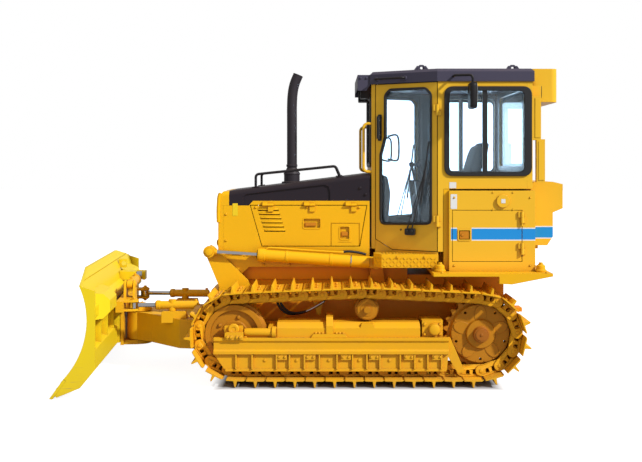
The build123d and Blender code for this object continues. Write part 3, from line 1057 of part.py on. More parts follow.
with BuildPart() as c_frame:
    half_arm = ARM_HEIGHT / 2
    # plan: two arms, the cross beam and the nose
    with BuildSketch(Plane.XY):
        with BuildLine():
            Polyline((LIFT_PIVOT_X - half_arm, ARM_OUTER), (ARM_THICK_X + 120, ARM_OUTER), (ARM_THICK_X + 420, 230),
                     (NOSE_X, NOSE_R), (NOSE_X, -NOSE_R), (ARM_THICK_X + 420, -230), (ARM_THICK_X + 120, -ARM_OUTER),
                     (LIFT_PIVOT_X - half_arm, -ARM_OUTER), (LIFT_PIVOT_X - half_arm, -ARM_INNER),
                     (ARM_THICK_X, -ARM_INNER), (ARM_THICK_X + 60, -ARM_INNER + 60), (ARM_THICK_X + 60, ARM_INNER - 60),
                     (ARM_THICK_X, ARM_INNER), (LIFT_PIVOT_X - half_arm, ARM_INNER), close=True)
        make_face()
        with Locations((NOSE_X, 0)):
            Circle(NOSE_R)
    extrude(amount=1000)
    # side: a beam that tapers towards the rear eye
    with BuildSketch(Plane.XZ.offset(-ARM_OUTER - 10)):
        with BuildLine():
            Polyline((LIFT_PIVOT_X, LIFT_PIVOT_Z - 105), (200, arm_z(200) - half_arm), (NOSE_X - NOSE_R, NOSE_Z - half_arm),
                     (NOSE_X + NOSE_R, NOSE_Z - half_arm), (NOSE_X + NOSE_R, NOSE_Z + half_arm),
                     (NOSE_X - NOSE_R, NOSE_Z + half_arm), (200, arm_z(200) + half_arm), (LIFT_PIVOT_X, LIFT_PIVOT_Z + 105),
                     close=True)
        make_face()
        with Locations((LIFT_PIVOT_X, LIFT_PIVOT_Z)):
            Circle(105)
    extrude(amount=2 * ARM_OUTER + 20, mode=Mode.INTERSECT)
    # level faces and bore of the nose
    add(bar((NOSE_X, 0, NOSE_Z - half_arm - 5), (NOSE_X, 0, NOSE_Z + half_arm + 5), NOSE_PIN_R + PIN_GAP), mode=Mode.SUBTRACT)
    for side in (-1, 1):
        add(bar((LIFT_PIVOT_X, side * (ARM_INNER - 10), LIFT_PIVOT_Z), (LIFT_PIVOT_X, side * (ARM_OUTER + 10), LIFT_PIVOT_Z),
                LIFT_PIN_R + PIN_GAP), mode=Mode.SUBTRACT)
        # riser with the ear of the lift rod
        eye_in = LIFT_Y - LIFT_EYE_HALF - SIDE_GAP
        low, high = sorted((side * (eye_in - RISER), side * eye_in))
        with BuildSketch(Plane.XZ.offset(-high)):
            with BuildLine():
                Polyline((952, 1112), (900, 1183), (868, 1166), (560, 860), (420, arm_z(420) + half_arm - 30),
                         (870, arm_z(870) + half_arm - 30), (822, 800), close=True)
            make_face()
        extrude(amount=high - low)
        # pedestal and pin of the angle cylinder
        ped_x, ped_y = ANGLE_TRUNNION[0], side * ANGLE_TRUNNION[1]
        add(slab_y([(ped_x - 150, arm_z(ped_x) + half_arm - 40), (ped_x + 95, arm_z(ped_x) + half_arm - 40),
                    (ped_x + 95, PEDESTAL_TOP - 16), (ped_x + 80, PEDESTAL_TOP), (ped_x - 120, PEDESTAL_TOP)],
                   ped_y - 40, ped_y + 40))
        add(bar((ped_x, ped_y, PEDESTAL_TOP - 10), (ped_x, ped_y, PEDESTAL_TOP + 24), TRUNNION_R))
keep(c_frame.part, "c_frame")


# ---------------------------------------------------------------- lift cylinders
def eye(place, normal, radius, half, bore):
    """A flat eye of a cylinder: a disc round place, normal to the given way, with a bore."""
    way = Vector(*normal).normalized()
    start = Vector(*place) - way * half
    with BuildPart() as disc:
        with BuildSketch(Plane(origin=start, z_dir=way)):
            Circle(radius)
            if bore:
                Circle(bore, mode=Mode.SUBTRACT)
        extrude(amount=2 * half)
    return disc.part


def along(start, end, distance):
    """The point at the given distance from start towards end."""
    way = (Vector(*end) - Vector(*start)).normalized()
    place = Vector(*start) + way * distance
    return (place.X, place.Y, place.Z)


lift_rear = (LIFT_REAR[0], LIFT_Y, LIFT_REAR[1])
lift_front = (LIFT_EYE[0], LIFT_Y, LIFT_EYE[1])
with BuildPart() as lift_barrel:
    add(bar(along(lift_rear, lift_front, 30), along(lift_rear, lift_front, LIFT_BARREL_END), LIFT_BARREL_R))
    add(bar(along(lift_rear, lift_front, LIFT_BARREL_END - 60), along(lift_rear, lift_front, LIFT_BARREL_END - 14),
            LIFT_BARREL_R + 7))
    add(eye(lift_rear, (0, 1, 0), LIFT_BARREL_R, LIFT_EYE_HALF, 0))
    add(bar(along(lift_rear, lift_front, LIFT_BARREL_END - LIFT_BORE), along(lift_rear, lift_front, LIFT_BARREL_END + 5),
            LIFT_ROD_R + SEAT_GAP), mode=Mode.SUBTRACT)
    add(eye(lift_rear, (0, 1, 0), LIFT_PIN_R + PIN_GAP, LIFT_EYE_HALF + 40, 0), mode=Mode.SUBTRACT)
    # flats beside the rear eye
    for low in (LIFT_Y - 90, LIFT_Y + LIFT_EYE_HALF):
        add(block((LIFT_REAR[0] - 70, LIFT_REAR[0] + 62), (low, low + 90 - LIFT_EYE_HALF), (LIFT_REAR[1] - 80, LIFT_REAR[1] + 80)),
            mode=Mode.SUBTRACT)
keep(lift_barrel.part, "lift_barrel_left")
keep(on_right(lift_barrel.part), "lift_barrel_right")

with BuildPart() as lift_rod:
    add(bar(along(lift_rear, lift_front, LIFT_BARREL_END - LIFT_ROD_IN), along(lift_front, lift_rear, 20), LIFT_ROD_R))
    add(eye(lift_front, (0, 1, 0), LIFT_EYE_R, LIFT_EYE_HALF, 0))
    add(bar((LIFT_EYE[0], LIFT_Y + LIFT_EYE_HALF - 1, LIFT_EYE[1]), (LIFT_EYE[0], LIFT_Y + LIFT_EYE_HALF + 12, LIFT_EYE[1]), 34))
keep(lift_rod.part, "lift_rod_left")
keep(on_right(lift_rod.part), "lift_rod_right")

# ---------------------------------------------------------------- angle cylinders
nose_axis = Axis((NOSE_X, 0, 0), (0, 0, 1))
turn = radians(BLADE_ANGLE)
for side, name in ((1, "left"), (-1, "right")):
    rear_end = (ANGLE_TRUNNION[0], side * ANGLE_TRUNNION[1], ANGLE_Z)
    front_end = (NOSE_X - side * ANGLE_Y * sin(turn), side * ANGLE_Y * cos(turn), ANGLE_Z)
    with BuildPart() as angle_barrel:
        add(bar(along(rear_end, front_end, -ANGLE_TAIL), along(rear_end, front_end, ANGLE_HEAD), ANGLE_BARREL_R))
        add(bar((rear_end[0], rear_end[1], PEDESTAL_TOP + SEAT_GAP), (rear_end[0], rear_end[1], ANGLE_Z + 50), 34))
        add(bar(along(rear_end, front_end, -ANGLE_TAIL + 12), along(rear_end, front_end, ANGLE_HEAD + 5),
                ANGLE_ROD_R + SEAT_GAP), mode=Mode.SUBTRACT)
        add(bar((rear_end[0], rear_end[1], PEDESTAL_TOP - 5), (rear_end[0], rear_end[1], PEDESTAL_TOP + 24 + SEAT_GAP),
                TRUNNION_R + PIN_GAP), mode=Mode.SUBTRACT)
    keep(angle_barrel.part, f"angle_barrel_{name}")
    with BuildPart() as angle_rod:
        add(bar(along(front_end, rear_end, ANGLE_ROD_LENGTH), along(front_end, rear_end, 20), ANGLE_ROD_R))
        add(eye(front_end, (0, 0, 1), ANGLE_EYE_R, ANGLE_EYE_HALF, 0))
    keep(angle_rod.part, f"angle_rod_{name}")


# ---------------------------------------------------------------- fork between nose and blade
def turned_to_rest(piece):
    """The piece turned about the nose pin to the blade's angle at rest."""
    return piece.rotate(nose_axis, BLADE_ANGLE)


with BuildPart() as yoke:
    half_arm = ARM_HEIGHT / 2
    for low in (NOSE_Z + half_arm + SIDE_GAP, NOSE_Z - half_arm - SIDE_GAP - EAR):
        with BuildSketch(Plane.XY.offset(low)):
            Rectangle(WEB_X + WEB - NOSE_X, 240, align=(Align.MIN, Align.CENTER), mode=Mode.ADD)
            Circle(NOSE_R - 5)
        extrude(amount=EAR)
    yoke_ears = yoke.part.moved(Location((NOSE_X, 0, 0)))
with BuildPart() as fork:
    add(yoke_ears)
    add(bar((NOSE_X, 0, NOSE_Z - half_arm - SIDE_GAP - EAR + 2), (NOSE_X, 0, NOSE_Z + half_arm + SIDE_GAP + EAR + 12), NOSE_PIN_R))
    add(block((WEB_X, WEB_X + WEB), (-150, 150), (NOSE_Z - half_arm - SIDE_GAP - EAR, BAR_HIGH)))
    add(block((BAR_REAR, WEB_X + WEB - 12), (-BAR_HALF, BAR_HALF), (BAR_LOW, BAR_HIGH)))
    for side in (-1, 1):
        # ears of an angle rod, above and below its eye
        for low, high in ((BAR_LOW, ANGLE_Z - ANGLE_EYE_HALF - SIDE_GAP), (ANGLE_Z + ANGLE_EYE_HALF + SIDE_GAP, BAR_HIGH)):
            add(slab_z([(BAR_REAR + 5, side * (ANGLE_Y - 62)), (NOSE_X, side * (ANGLE_Y - 48)), (NOSE_X - 40, side * (ANGLE_Y - 25)),
                        (NOSE_X - 40, side * (ANGLE_Y + 25)), (NOSE_X, side * (ANGLE_Y + 48)), (BAR_REAR + 5, side * (ANGLE_Y + 62))],
                       low, high))
            cap_low, cap_high = (low - 9, low + 1) if low == BAR_LOW else (high - 1, high + 9)
            add(bar((NOSE_X, side * ANGLE_Y, cap_low), (NOSE_X, side * ANGLE_Y, cap_high), 30))
    # ears and pin of the tilt cylinder
    tilt_y, tilt_z = TILT_BARREL_AT
    for low in (TILT_X - TILT_EYE_HALF - SIDE_GAP - 22, TILT_X + TILT_EYE_HALF + SIDE_GAP):
        add(slab_x([(tilt_y - 70, BAR_HIGH - 20), (tilt_y + 75, BAR_HIGH - 20), (tilt_y + 42, tilt_z + 20), (tilt_y + 18, tilt_z + 42),
                    (tilt_y - 18, tilt_z + 42), (tilt_y - 42, tilt_z + 20)], low, low + 22))
    add(block((TILT_X - TILT_EYE_HALF - SIDE_GAP - 22, BAR_REAR + 5), (tilt_y - 70, tilt_y + 75), (BAR_HIGH - 30, BAR_HIGH)))
    add(bar((TILT_X - TILT_EYE_HALF - SIDE_GAP - 30, tilt_y, tilt_z), (TILT_X + TILT_EYE_HALF + SIDE_GAP + 30, tilt_y, tilt_z),
            TRUNNION_R))
    # pin on which the blade tilts
    add(bar((WEB_X + WEB - 5, 0, NOSE_Z), (WEB_X + WEB + TILT_PIN, 0, NOSE_Z), TILT_PIN_R))
keep(turned_to_rest(fork.part), "yoke")

tilt_rear = (TILT_X, *TILT_BARREL_AT)
tilt_front = (TILT_X, *TILT_ROD_AT)
with BuildPart() as tilt_barrel:
    add(bar(along(tilt_rear, tilt_front, 20), along(tilt_rear, tilt_front, TILT_BARREL_END), 40))
    add(eye(tilt_rear, (1, 0, 0), TILT_EYE_R, TILT_EYE_HALF, 0))
    add(eye(tilt_rear, (1, 0, 0), TRUNNION_R + PIN_GAP, 60, 0), mode=Mode.SUBTRACT)
    for low in (TILT_X - 60, TILT_X + TILT_EYE_HALF):
        add(block((low, low + 60 - TILT_EYE_HALF), (TILT_BARREL_AT[0] - 55, TILT_BARREL_AT[0] + 60),
                  (TILT_BARREL_AT[1] - 60, TILT_BARREL_AT[1] + 60)), mode=Mode.SUBTRACT)
    add(bar(along(tilt_rear, tilt_front, 90), along(tilt_rear, tilt_front, TILT_BARREL_END + 5), ANGLE_ROD_R + SEAT_GAP),
        mode=Mode.SUBTRACT)
keep(turned_to_rest(tilt_barrel.part), "tilt_barrel")
with BuildPart() as tilt_rod:
    add(bar(along(tilt_rear, tilt_front, TILT_BARREL_END - 170), along(tilt_front, tilt_rear, 15), ANGLE_ROD_R))
    add(eye(tilt_front, (1, 0, 0), TILT_EYE_R, TILT_EYE_HALF, 0))
keep(turned_to_rest(tilt_rod.part), "tilt_rod")


# ---------------------------------------------------------------- blade
def circle_through(a, b, c):
    """Centre and radius of the circle through three points."""
    d = 2 * (a[0] * (b[1] - c[1]) + b[0] * (c[1] - a[1]) + c[0] * (a[1] - b[1]))
    squares = [p[0] ** 2 + p[1] ** 2 for p in (a, b, c)]
    x = (squares[0] * (b[1] - c[1]) + squares[1] * (c[1] - a[1]) + squares[2] * (a[1] - b[1])) / d
    z = (squares[0] * (c[0] - b[0]) + squares[1] * (a[0] - c[0]) + squares[2] * (b[0] - a[0])) / d
    return x, z, hypot(a[0] - x, a[1] - z)


curve_x, curve_z, curve_r = circle_through(FACE_LOW, FACE_DEEP, FACE_TOP)


def face_x(z, behind=0.0):
    """X of the moldboard's face at height z, or of a surface behind it."""
    return NOSE_X + curve_x - ((curve_r + behind) ** 2 - (z - curve_z) ** 2) ** 0.5


def face_line(low, high, behind):
    """Points X, Z up the moldboard, behind its face, close enough to follow the curve."""
    steps = round((high - low) / 55) + 1
    heights = [low + (high - low) * step / steps for step in range(steps + 1)]
    return [(face_x(z, behind), z) for z in heights]


edge_run = Vector(EDGE_TIP_X - FACE_LOW[0], EDGE_Z - FACE_LOW[1], 0).normalized()
edge_back = Vector(edge_run.Y, -edge_run.X, 0)        # from the edge's face towards its back


def edge_point(run, behind):
    """X, Z of a point down the straight foot of the blade, run from where the curve ends."""
    return (NOSE_X + FACE_LOW[0] + edge_run.X * run + edge_back.X * behind,
            FACE_LOW[1] + edge_run.Y * run + edge_back.Y * behind)


EDGE_LENGTH = hypot(EDGE_TIP_X - FACE_LOW[0], EDGE_Z - FACE_LOW[1])
blade_rear = NOSE_X + BLADE_BACK
half_width = BLADE_WIDTH / 2
with BuildPart() as moldboard:
    # the curved plate and its straight foot behind the cutting edge
    with BuildSketch(Plane.XZ.offset(-half_width)):
        with BuildLine():
            front = ThreePointArc((face_x(FACE_LOW[1]), FACE_LOW[1]), (face_x(FACE_DEEP[1]), FACE_DEEP[1]),
                                  (face_x(BLADE_TOP), BLADE_TOP))
            top = Line(front @ 1, (face_x(BLADE_TOP, MOLD_PLATE), BLADE_TOP))
            back = ThreePointArc(top @ 1, (face_x(FACE_DEEP[1], MOLD_PLATE), FACE_DEEP[1]),
                                 (face_x(FACE_LOW[1], MOLD_PLATE), FACE_LOW[1]))
            Polyline(back @ 1, edge_point(0, MOLD_PLATE + EDGE_PLATE),
                     edge_point(EDGE_LENGTH - FOOT_SHORT, MOLD_PLATE + EDGE_PLATE),
                     edge_point(EDGE_LENGTH - FOOT_SHORT, EDGE_PLATE), edge_point(0, EDGE_PLATE), front @ 0)
        make_face()
    extrude(amount=BLADE_WIDTH)
    # box beams along the back: X, Z of each corner
    beams = [
        [*face_line(590, 790, 8), (blade_rear + 12, 735), (blade_rear + 12, 655)],
        [edge_point(0, MOLD_PLATE + EDGE_PLATE - 5), *face_line(FACE_LOW[1] + 35, 430, 8), (blade_rear, 400), (blade_rear, 236), (blade_rear + 120, 110),
         edge_point(70, MOLD_PLATE + EDGE_PLATE - 5)],
        [*face_line(BLADE_TOP - 90, BLADE_TOP - 20, 8), (blade_rear + 110, BLADE_TOP - 60)],
    ]
    for beam in beams:
        add(slab_y(beam, -half_width, half_width))
    # a deep box behind each wing, drawn in towards the face at its ends
    for side in (-1, 1):
        wing = [(x, side * y) for x, y in ((blade_rear + 150, WING[0] - 80), (blade_rear - WING_DEEP, WING[0] + 20),
                                           (blade_rear - WING_DEEP, WING[1]), (blade_rear + 150, WING[1] + 230))]
        with BuildPart() as box:
            add(slab_z(wing, WING_Z[0], WING_Z[1]))
            add(slab_y([*face_line(WING_Z[0], WING_Z[1], 8), (blade_rear - 20, WING_Z[1] - 30),
                        (blade_rear - WING_DEEP, WING_Z[1] - 90), (blade_rear - WING_DEEP, WING_Z[0] + 50),
                        (blade_rear - 20, WING_Z[0])], -half_width, half_width), mode=Mode.INTERSECT)
        add(box.part)
    # lifting lug on the upper back
    with BuildSketch(Plane.XZ.offset(550 - 9)):
        with Locations((face_x(BLADE_TOP - 152, 8) - 40, BLADE_TOP - 110)):
            Rectangle(80, 84)
            with Locations((-12, 0)):
                Circle(24, mode=Mode.SUBTRACT)
    extrude(amount=18)
    # ribs and end plates
    for rib_y in BLADE_RIBS:
        for side in (-1, 1):
            add(slab_y([*face_line(260, BLADE_TOP - 60, 8), (blade_rear + 40, 700), (blade_rear + 6, 640),
                        (blade_rear + 6, 300)], side * rib_y - 10, side * rib_y + 10))
    for low in (-half_width, half_width - END_PLATE):
        with BuildSketch(Plane.XZ.offset(-low - END_PLATE)):
            with BuildLine():
                front = ThreePointArc((face_x(FACE_LOW[1]), FACE_LOW[1]), (face_x(FACE_DEEP[1]), FACE_DEEP[1]),
                                      (face_x(BLADE_CORNER), BLADE_CORNER))
                Polyline(front @ 1, (blade_rear, BLADE_CORNER - 41), (blade_rear, 236), (blade_rear + 120, 90),
                         edge_point(EDGE_LENGTH - FOOT_SHORT, MOLD_PLATE + EDGE_PLATE),
                         edge_point(EDGE_LENGTH - FOOT_SHORT, EDGE_PLATE), edge_point(0, EDGE_PLATE), front @ 0)
            make_face()
        extrude(amount=END_PLATE)
    # the top edge falls towards the ends
    for side in (-1, 1):
        add(slab_x([(side * BLADE_SHOULDER, BLADE_TOP + 1), (side * (half_width + 1), BLADE_CORNER),
                    (side * (half_width + 1), BLADE_TOP + 60), (side * BLADE_SHOULDER, BLADE_TOP + 60)], NOSE_X, NOSE_X + 600),
            mode=Mode.SUBTRACT)
    # bearing of the tilt pin
    add(block((WEB_X + WEB + SIDE_GAP, face_x(FACE_DEEP[1], 8)), (-160, 160), (NOSE_Z - 150, NOSE_Z + 150)))
    add(bar((WEB_X + WEB - 20, 0, NOSE_Z), (WEB_X + WEB + TILT_PIN + SIDE_GAP, 0, NOSE_Z), TILT_PIN_R + PIN_GAP), mode=Mode.SUBTRACT)
    # arm that reaches back to the tilt rod's eye
    eye_y, eye_z = TILT_ROD_AT
    add(block((TILT_X - 60, face_x(eye_z - 42, 8)), (eye_y - 90, eye_y + 40), (eye_z - 42, eye_z + 42)))
    add(block((TILT_X - TILT_EYE_HALF - SIDE_GAP, TILT_X + TILT_EYE_HALF + SIDE_GAP), (eye_y - 62, eye_y + 90), (eye_z - 60, eye_z + 60)),
        mode=Mode.SUBTRACT)
keep(turned_to_rest(moldboard.part), "moldboard")

with BuildPart() as cutting_edge:
    # start and end of each piece across the blade
    for low, high in ((-half_width, -half_width + END_BIT), (-half_width + END_BIT + 2, -1), (1, half_width - END_BIT - 2),
                      (half_width - END_BIT, half_width)):
        add(slab_y([edge_point(2, 0), edge_point(EDGE_LENGTH, 0), edge_point(EDGE_LENGTH - 14, EDGE_PLATE),
                    edge_point(2, EDGE_PLATE)], low, high))
keep(turned_to_rest(cutting_edge.part), "cutting_edge")
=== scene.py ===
"""The look of a crawler bulldozer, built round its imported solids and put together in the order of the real
machine: chassis and undercarriage, hood, deck, cab, side boxes, and last the blade with the frame and
cylinders that carry it. Metres, +X forward, +Y to the machine's left, +Z up."""
from math import atan2, cos, hypot, pi, radians, sin, tan
import bpy
import numpy as np
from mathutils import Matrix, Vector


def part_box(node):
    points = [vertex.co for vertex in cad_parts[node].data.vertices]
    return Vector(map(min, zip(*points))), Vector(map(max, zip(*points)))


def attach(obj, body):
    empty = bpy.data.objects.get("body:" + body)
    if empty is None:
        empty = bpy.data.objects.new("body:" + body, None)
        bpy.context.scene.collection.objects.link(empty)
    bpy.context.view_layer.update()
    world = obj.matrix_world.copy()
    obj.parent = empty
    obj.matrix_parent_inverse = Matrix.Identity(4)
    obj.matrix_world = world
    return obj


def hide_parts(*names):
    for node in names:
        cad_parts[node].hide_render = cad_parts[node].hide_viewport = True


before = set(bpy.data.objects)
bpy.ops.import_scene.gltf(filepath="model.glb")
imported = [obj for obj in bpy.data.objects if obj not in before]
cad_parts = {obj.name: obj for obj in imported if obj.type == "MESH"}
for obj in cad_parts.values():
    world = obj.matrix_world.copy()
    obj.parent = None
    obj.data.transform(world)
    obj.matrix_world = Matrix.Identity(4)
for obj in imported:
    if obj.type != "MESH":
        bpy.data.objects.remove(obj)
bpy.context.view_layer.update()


# ---------------------------------------------------------------- studio
# A level camera stands off the machine's left side at about eye height. The floor and the air round it are
# white, and one broad sun from behind the left shoulder of the machine lights it, with soft white light from
# all round.
camera = bpy.data.objects.new("camera", bpy.data.cameras.new("camera"))
bpy.context.scene.collection.objects.link(camera)
camera.location = (-0.170, 8.80, 1.912)
camera.rotation_euler = (radians(90), 0, radians(180))
camera.data.lens = 51.3
camera.data.shift_x = -0.011
camera.data.shift_y = -0.103
camera.data.clip_end = 400
bpy.context.scene.camera = camera
bpy.context.scene.view_settings.view_transform = "Standard"

TO_SUN = (-0.72, 0.50, 0.66)
sun = bpy.data.objects.new("sun", bpy.data.lights.new("sun", "SUN"))
sun.data.energy = 3.7
sun.data.angle = radians(2.5)
sun.rotation_euler = (atan2(hypot(TO_SUN[0], TO_SUN[1]), TO_SUN[2]), 0, atan2(TO_SUN[1], TO_SUN[0]) + pi / 2)
bpy.context.scene.collection.objects.link(sun)


def add_node(tree, kind, **settings):
    """A shader node in the tree, with its attributes set by name."""
    made = tree.nodes.new("ShaderNode" + kind)
    for key, value in settings.items():
        setattr(made, key, value)
    return made


def calc(tree, operation, first, second=None, third=None):
    """One Math node; each operand is a number or the output of a node."""
    made = add_node(tree, "Math", operation=operation)
    for socket, value in zip(made.inputs, (first, second, third)):
        if isinstance(value, (int, float)):
            socket.default_value = value
        elif value is not None:
            tree.links.new(value, socket)
    return made.outputs[0]


def clamped(tree, value):
    """The value held between 0 and 1."""
    made = add_node(tree, "Clamp")
    tree.links.new(value, made.inputs[0])
    return made.outputs[0]


def place_of(tree):
    """The point on the machine, from the object's own coordinates."""
    return add_node(tree, "TexCoord").outputs["Object"]


def parts_of(tree, vector):
    """X, Y and Z of a vector, by those names or in that order."""
    made = add_node(tree, "SeparateXYZ")
    tree.links.new(vector, made.inputs[0])
    return made.outputs


def skin_of(material):
    """The Principled shader of a material."""
    return material.node_tree.nodes["Principled BSDF"]


def plain(name, colour, roughness, metallic=0.0):
    """A material with one colour, roughness and metal all over."""
    made = bpy.data.materials.new(name)
    made.use_nodes = True
    skin_of(made).inputs["Base Color"].default_value = (*colour, 1)
    skin_of(made).inputs["Roughness"].default_value = roughness
    skin_of(made).inputs["Metallic"].default_value = metallic
    return made


THROUGH_PANES = 6.0


def only_seen(tree):
    """1 on rays that the eye sends out, THROUGH_PANES on those that reach it through a tinted pane, and 0 on
    all that light the machine, whose diffuse depth is one or more: camera ray + THROUGH_PANES x
    clamp(transmission - depth)."""
    rays = add_node(tree, "LightPath").outputs
    through = clamped(tree, calc(tree, "SUBTRACT", rays["Is Transmission Ray"], rays["Diffuse Depth"]))
    return calc(tree, "MULTIPLY_ADD", through, THROUGH_PANES, rays["Is Camera Ray"])


AIR_LIGHT = 0.46
air = bpy.data.worlds.new("air")
bpy.context.scene.world = air
air.use_nodes = True
background = air.node_tree.nodes["Background"]
background.inputs["Color"].default_value = (1, 1, 1, 1)
air.node_tree.links.new(calc(air.node_tree, "MULTIPLY_ADD", only_seen(air.node_tree), 1.0 - AIR_LIGHT,
                             AIR_LIGHT), background.inputs["Strength"])

FLOOR_REACH, FLOOR_DOWN, FLOOR_GLOW = 60.0, -0.001, 0.93
floor_mesh = bpy.data.meshes.new("floor")
floor_mesh.from_pydata([(x * FLOOR_REACH, y * FLOOR_REACH, FLOOR_DOWN)
                        for x, y in ((-1, -1), (1, -1), (1, 1), (-1, 1))], [], [(0, 1, 2, 3)])
floor = bpy.data.objects.new("floor", floor_mesh)
bpy.context.scene.collection.objects.link(floor)
floor_white = plain("floor_white", (0.36, 0.36, 0.37), 0.9)
skin_of(floor_white).inputs["Emission Color"].default_value = (1, 1, 1, 1)
# painted shadow under the tracks: the floor's own white fades out under them, over SHADE_FADE round their
# footprint
TRACK_MIDDLE, TRACK_HALF, SHADE_FADE = (-0.43, 0.735), (1.16, 0.215), 0.12
floor_tree = floor_white.node_tree
floor_x, floor_y = parts_of(floor_tree, place_of(floor_tree))[:2]
fades = []
for along, middle, half in zip((floor_x, calc(floor_tree, "ABSOLUTE", floor_y)), TRACK_MIDDLE, TRACK_HALF):
    fade = add_node(floor_tree, "MapRange")
    fade.inputs["From Min"].default_value = half
    fade.inputs["From Max"].default_value = half + SHADE_FADE
    floor_tree.links.new(calc(floor_tree, "ABSOLUTE", calc(floor_tree, "SUBTRACT", along, middle)),
                         fade.inputs["Value"])
    fades.append(fade.outputs[0])
open_floor = calc(floor_tree, "MULTIPLY", calc(floor_tree, "MAXIMUM", *fades), only_seen(floor_tree))
floor_tree.links.new(calc(floor_tree, "MULTIPLY", open_floor, FLOOR_GLOW),
                     skin_of(floor_white).inputs["Emission Strength"])
floor_mesh.materials.append(floor_white)


# ---------------------------------------------------------------- main frame
# Welded box sections of thick plate that carry engine, cab and both tracks, sprayed yellow inside and out.
# The paint has a faint orange peel, thins on the edges and takes dust towards the ground; painted shade
# darkens its recesses.
def effect(name, inputs, outputs):
    """A shader node group with named float inputs, given with their values, and named outputs of a given
    kind; gives the group's tree, the sockets that bring its inputs and the ones that take its outputs."""
    tree = bpy.data.node_groups.new(name, "ShaderNodeTree")
    for socket, value in inputs.items():
        tree.interface.new_socket(socket, in_out="INPUT", socket_type="NodeSocketFloat").default_value = value
    for socket, kind in outputs.items():
        tree.interface.new_socket(socket, in_out="OUTPUT", socket_type="NodeSocket" + kind)
    return tree, tree.nodes.new("NodeGroupInput").outputs, tree.nodes.new("NodeGroupOutput").inputs


def noise(tree, scale, detail=2.0, roughness=0.5, stretch=None):
    """Noise over the object's own coordinates, from 0 to 1; stretch multiplies the scale along each axis."""
    made = add_node(tree, "TexNoise")
    for socket, value in (("Scale", scale), ("Detail", detail), ("Roughness", roughness)):
        made.inputs[socket].default_value = value
    place = place_of(tree)
    if stretch is not None:
        stretched = add_node(tree, "VectorMath", operation="MULTIPLY")
        stretched.inputs[1].default_value = stretch
        tree.links.new(place, stretched.inputs[0])
        place = stretched.outputs[0]
    tree.links.new(place, made.inputs["Vector"])
    return made.outputs["Fac"]


def normal_of(tree):
    """The way that the face looks."""
    return add_node(tree, "NewGeometry").outputs["Normal"]


# Dust: mask = clamp(amount x (max((top - z) / top, 0) + max(normal's z, 0) / 2)
# x max(2.2 x noise - 0.55, 0)).
ground_dust, dust_in, dust_out = effect("ground_dust", {"Top": 0.9, "Amount": 0.4}, {"Mask": "Float"})
height = parts_of(ground_dust, place_of(ground_dust))["Z"]
below = calc(ground_dust, "DIVIDE", calc(ground_dust, "SUBTRACT", dust_in["Top"], height), dust_in["Top"])
facing_up = calc(ground_dust, "MAXIMUM", parts_of(ground_dust, normal_of(ground_dust))["Z"], 0.0)
lying = calc(ground_dust, "ADD", calc(ground_dust, "MAXIMUM", below, 0.0),
             calc(ground_dust, "MULTIPLY", facing_up, 0.5))
patches = calc(ground_dust, "MULTIPLY_ADD", noise(ground_dust, 5.0, 6.0, 0.62), 2.2, -0.55)
dust_here = calc(ground_dust, "MULTIPLY", lying, calc(ground_dust, "MAXIMUM", patches, 0.0))
ground_dust.links.new(clamped(ground_dust, calc(ground_dust, "MULTIPLY", dust_here, dust_in["Amount"])),
                      dust_out["Mask"])

# Rubbed edges: mask = clamp(amount x 8 x (1 - normal . rounded edge's normal) x (4 x noise - 1.9)).
rubbed_edge, rub_in, rub_out = effect("rubbed_edge", {"Radius": 0.006, "Amount": 0.5},
                                      {"Mask": "Float", "Soft Normal": "Vector"})
bevelled = add_node(rubbed_edge, "Bevel", samples=4)
rubbed_edge.links.new(rub_in["Radius"], bevelled.inputs["Radius"])
agree = add_node(rubbed_edge, "VectorMath", operation="DOT_PRODUCT")
rubbed_edge.links.new(bevelled.outputs[0], agree.inputs[0])
rubbed_edge.links.new(normal_of(rubbed_edge), agree.inputs[1])
turned = calc(rubbed_edge, "MULTIPLY", calc(rubbed_edge, "SUBTRACT", 1.0, agree.outputs["Value"]), 8.0)
patchy = calc(rubbed_edge, "MULTIPLY_ADD", noise(rubbed_edge, 34.0, 5.0, 0.7), 4.0, -1.9)
rubbed = calc(rubbed_edge, "MULTIPLY", calc(rubbed_edge, "MULTIPLY", turned, patchy), rub_in["Amount"])
rubbed_edge.links.new(clamped(rubbed_edge, rubbed), rub_out["Mask"])
rubbed_edge.links.new(bevelled.outputs[0], rub_out["Soft Normal"])

# Painted shade in recesses, darker and more orange where ambient occlusion finds them closed:
# mask = clamp(amount x (1.7 x (1 - openness) - 0.35)), with openness looked up within a reach.
recess_shade, recess_shade_in, recess_shade_out = effect("painted_recess_shade", {"Reach": 0.11, "Amount": 0.6}, {"Mask": "Float"})
openness = add_node(recess_shade, "AmbientOcclusion", samples=6)
recess_shade.links.new(recess_shade_in["Reach"], openness.inputs["Distance"])
closed = calc(recess_shade, "MULTIPLY_ADD", calc(recess_shade, "SUBTRACT", 1.0, openness.outputs["AO"]), 1.7, -0.35)
recess_shade.links.new(clamped(recess_shade, calc(recess_shade, "MULTIPLY", closed, recess_shade_in["Amount"])), recess_shade_out["Mask"])

# Sprayed skin: tone = 1 + drift x (noise - 0.5), the coat's slow change of thickness;
# height = a fine orange peel.
sprayed_skin, skin_in, skin_out = effect("sprayed_skin", {"Drift": 0.08}, {"Tone": "Float", "Peel": "Float"})
drift = calc(sprayed_skin, "SUBTRACT", noise(sprayed_skin, 1.7, 3.0, 0.55), 0.5)
sprayed_skin.links.new(calc(sprayed_skin, "MULTIPLY_ADD", drift, skin_in["Drift"], 1.0), skin_out["Tone"])
sprayed_skin.links.new(noise(sprayed_skin, 420.0), skin_out["Peel"])


def mix_colour(tree, factor, first, second):
    """first and second blended by factor; each colour is three numbers or the output of a node."""
    made = add_node(tree, "Mix", data_type="RGBA")
    for socket, value in ((made.inputs["Factor"], factor), (made.inputs[6], first), (made.inputs[7], second)):
        if isinstance(value, tuple):
            socket.default_value = (*value, 1)
        else:
            tree.links.new(value, socket)
    return made.outputs[2]


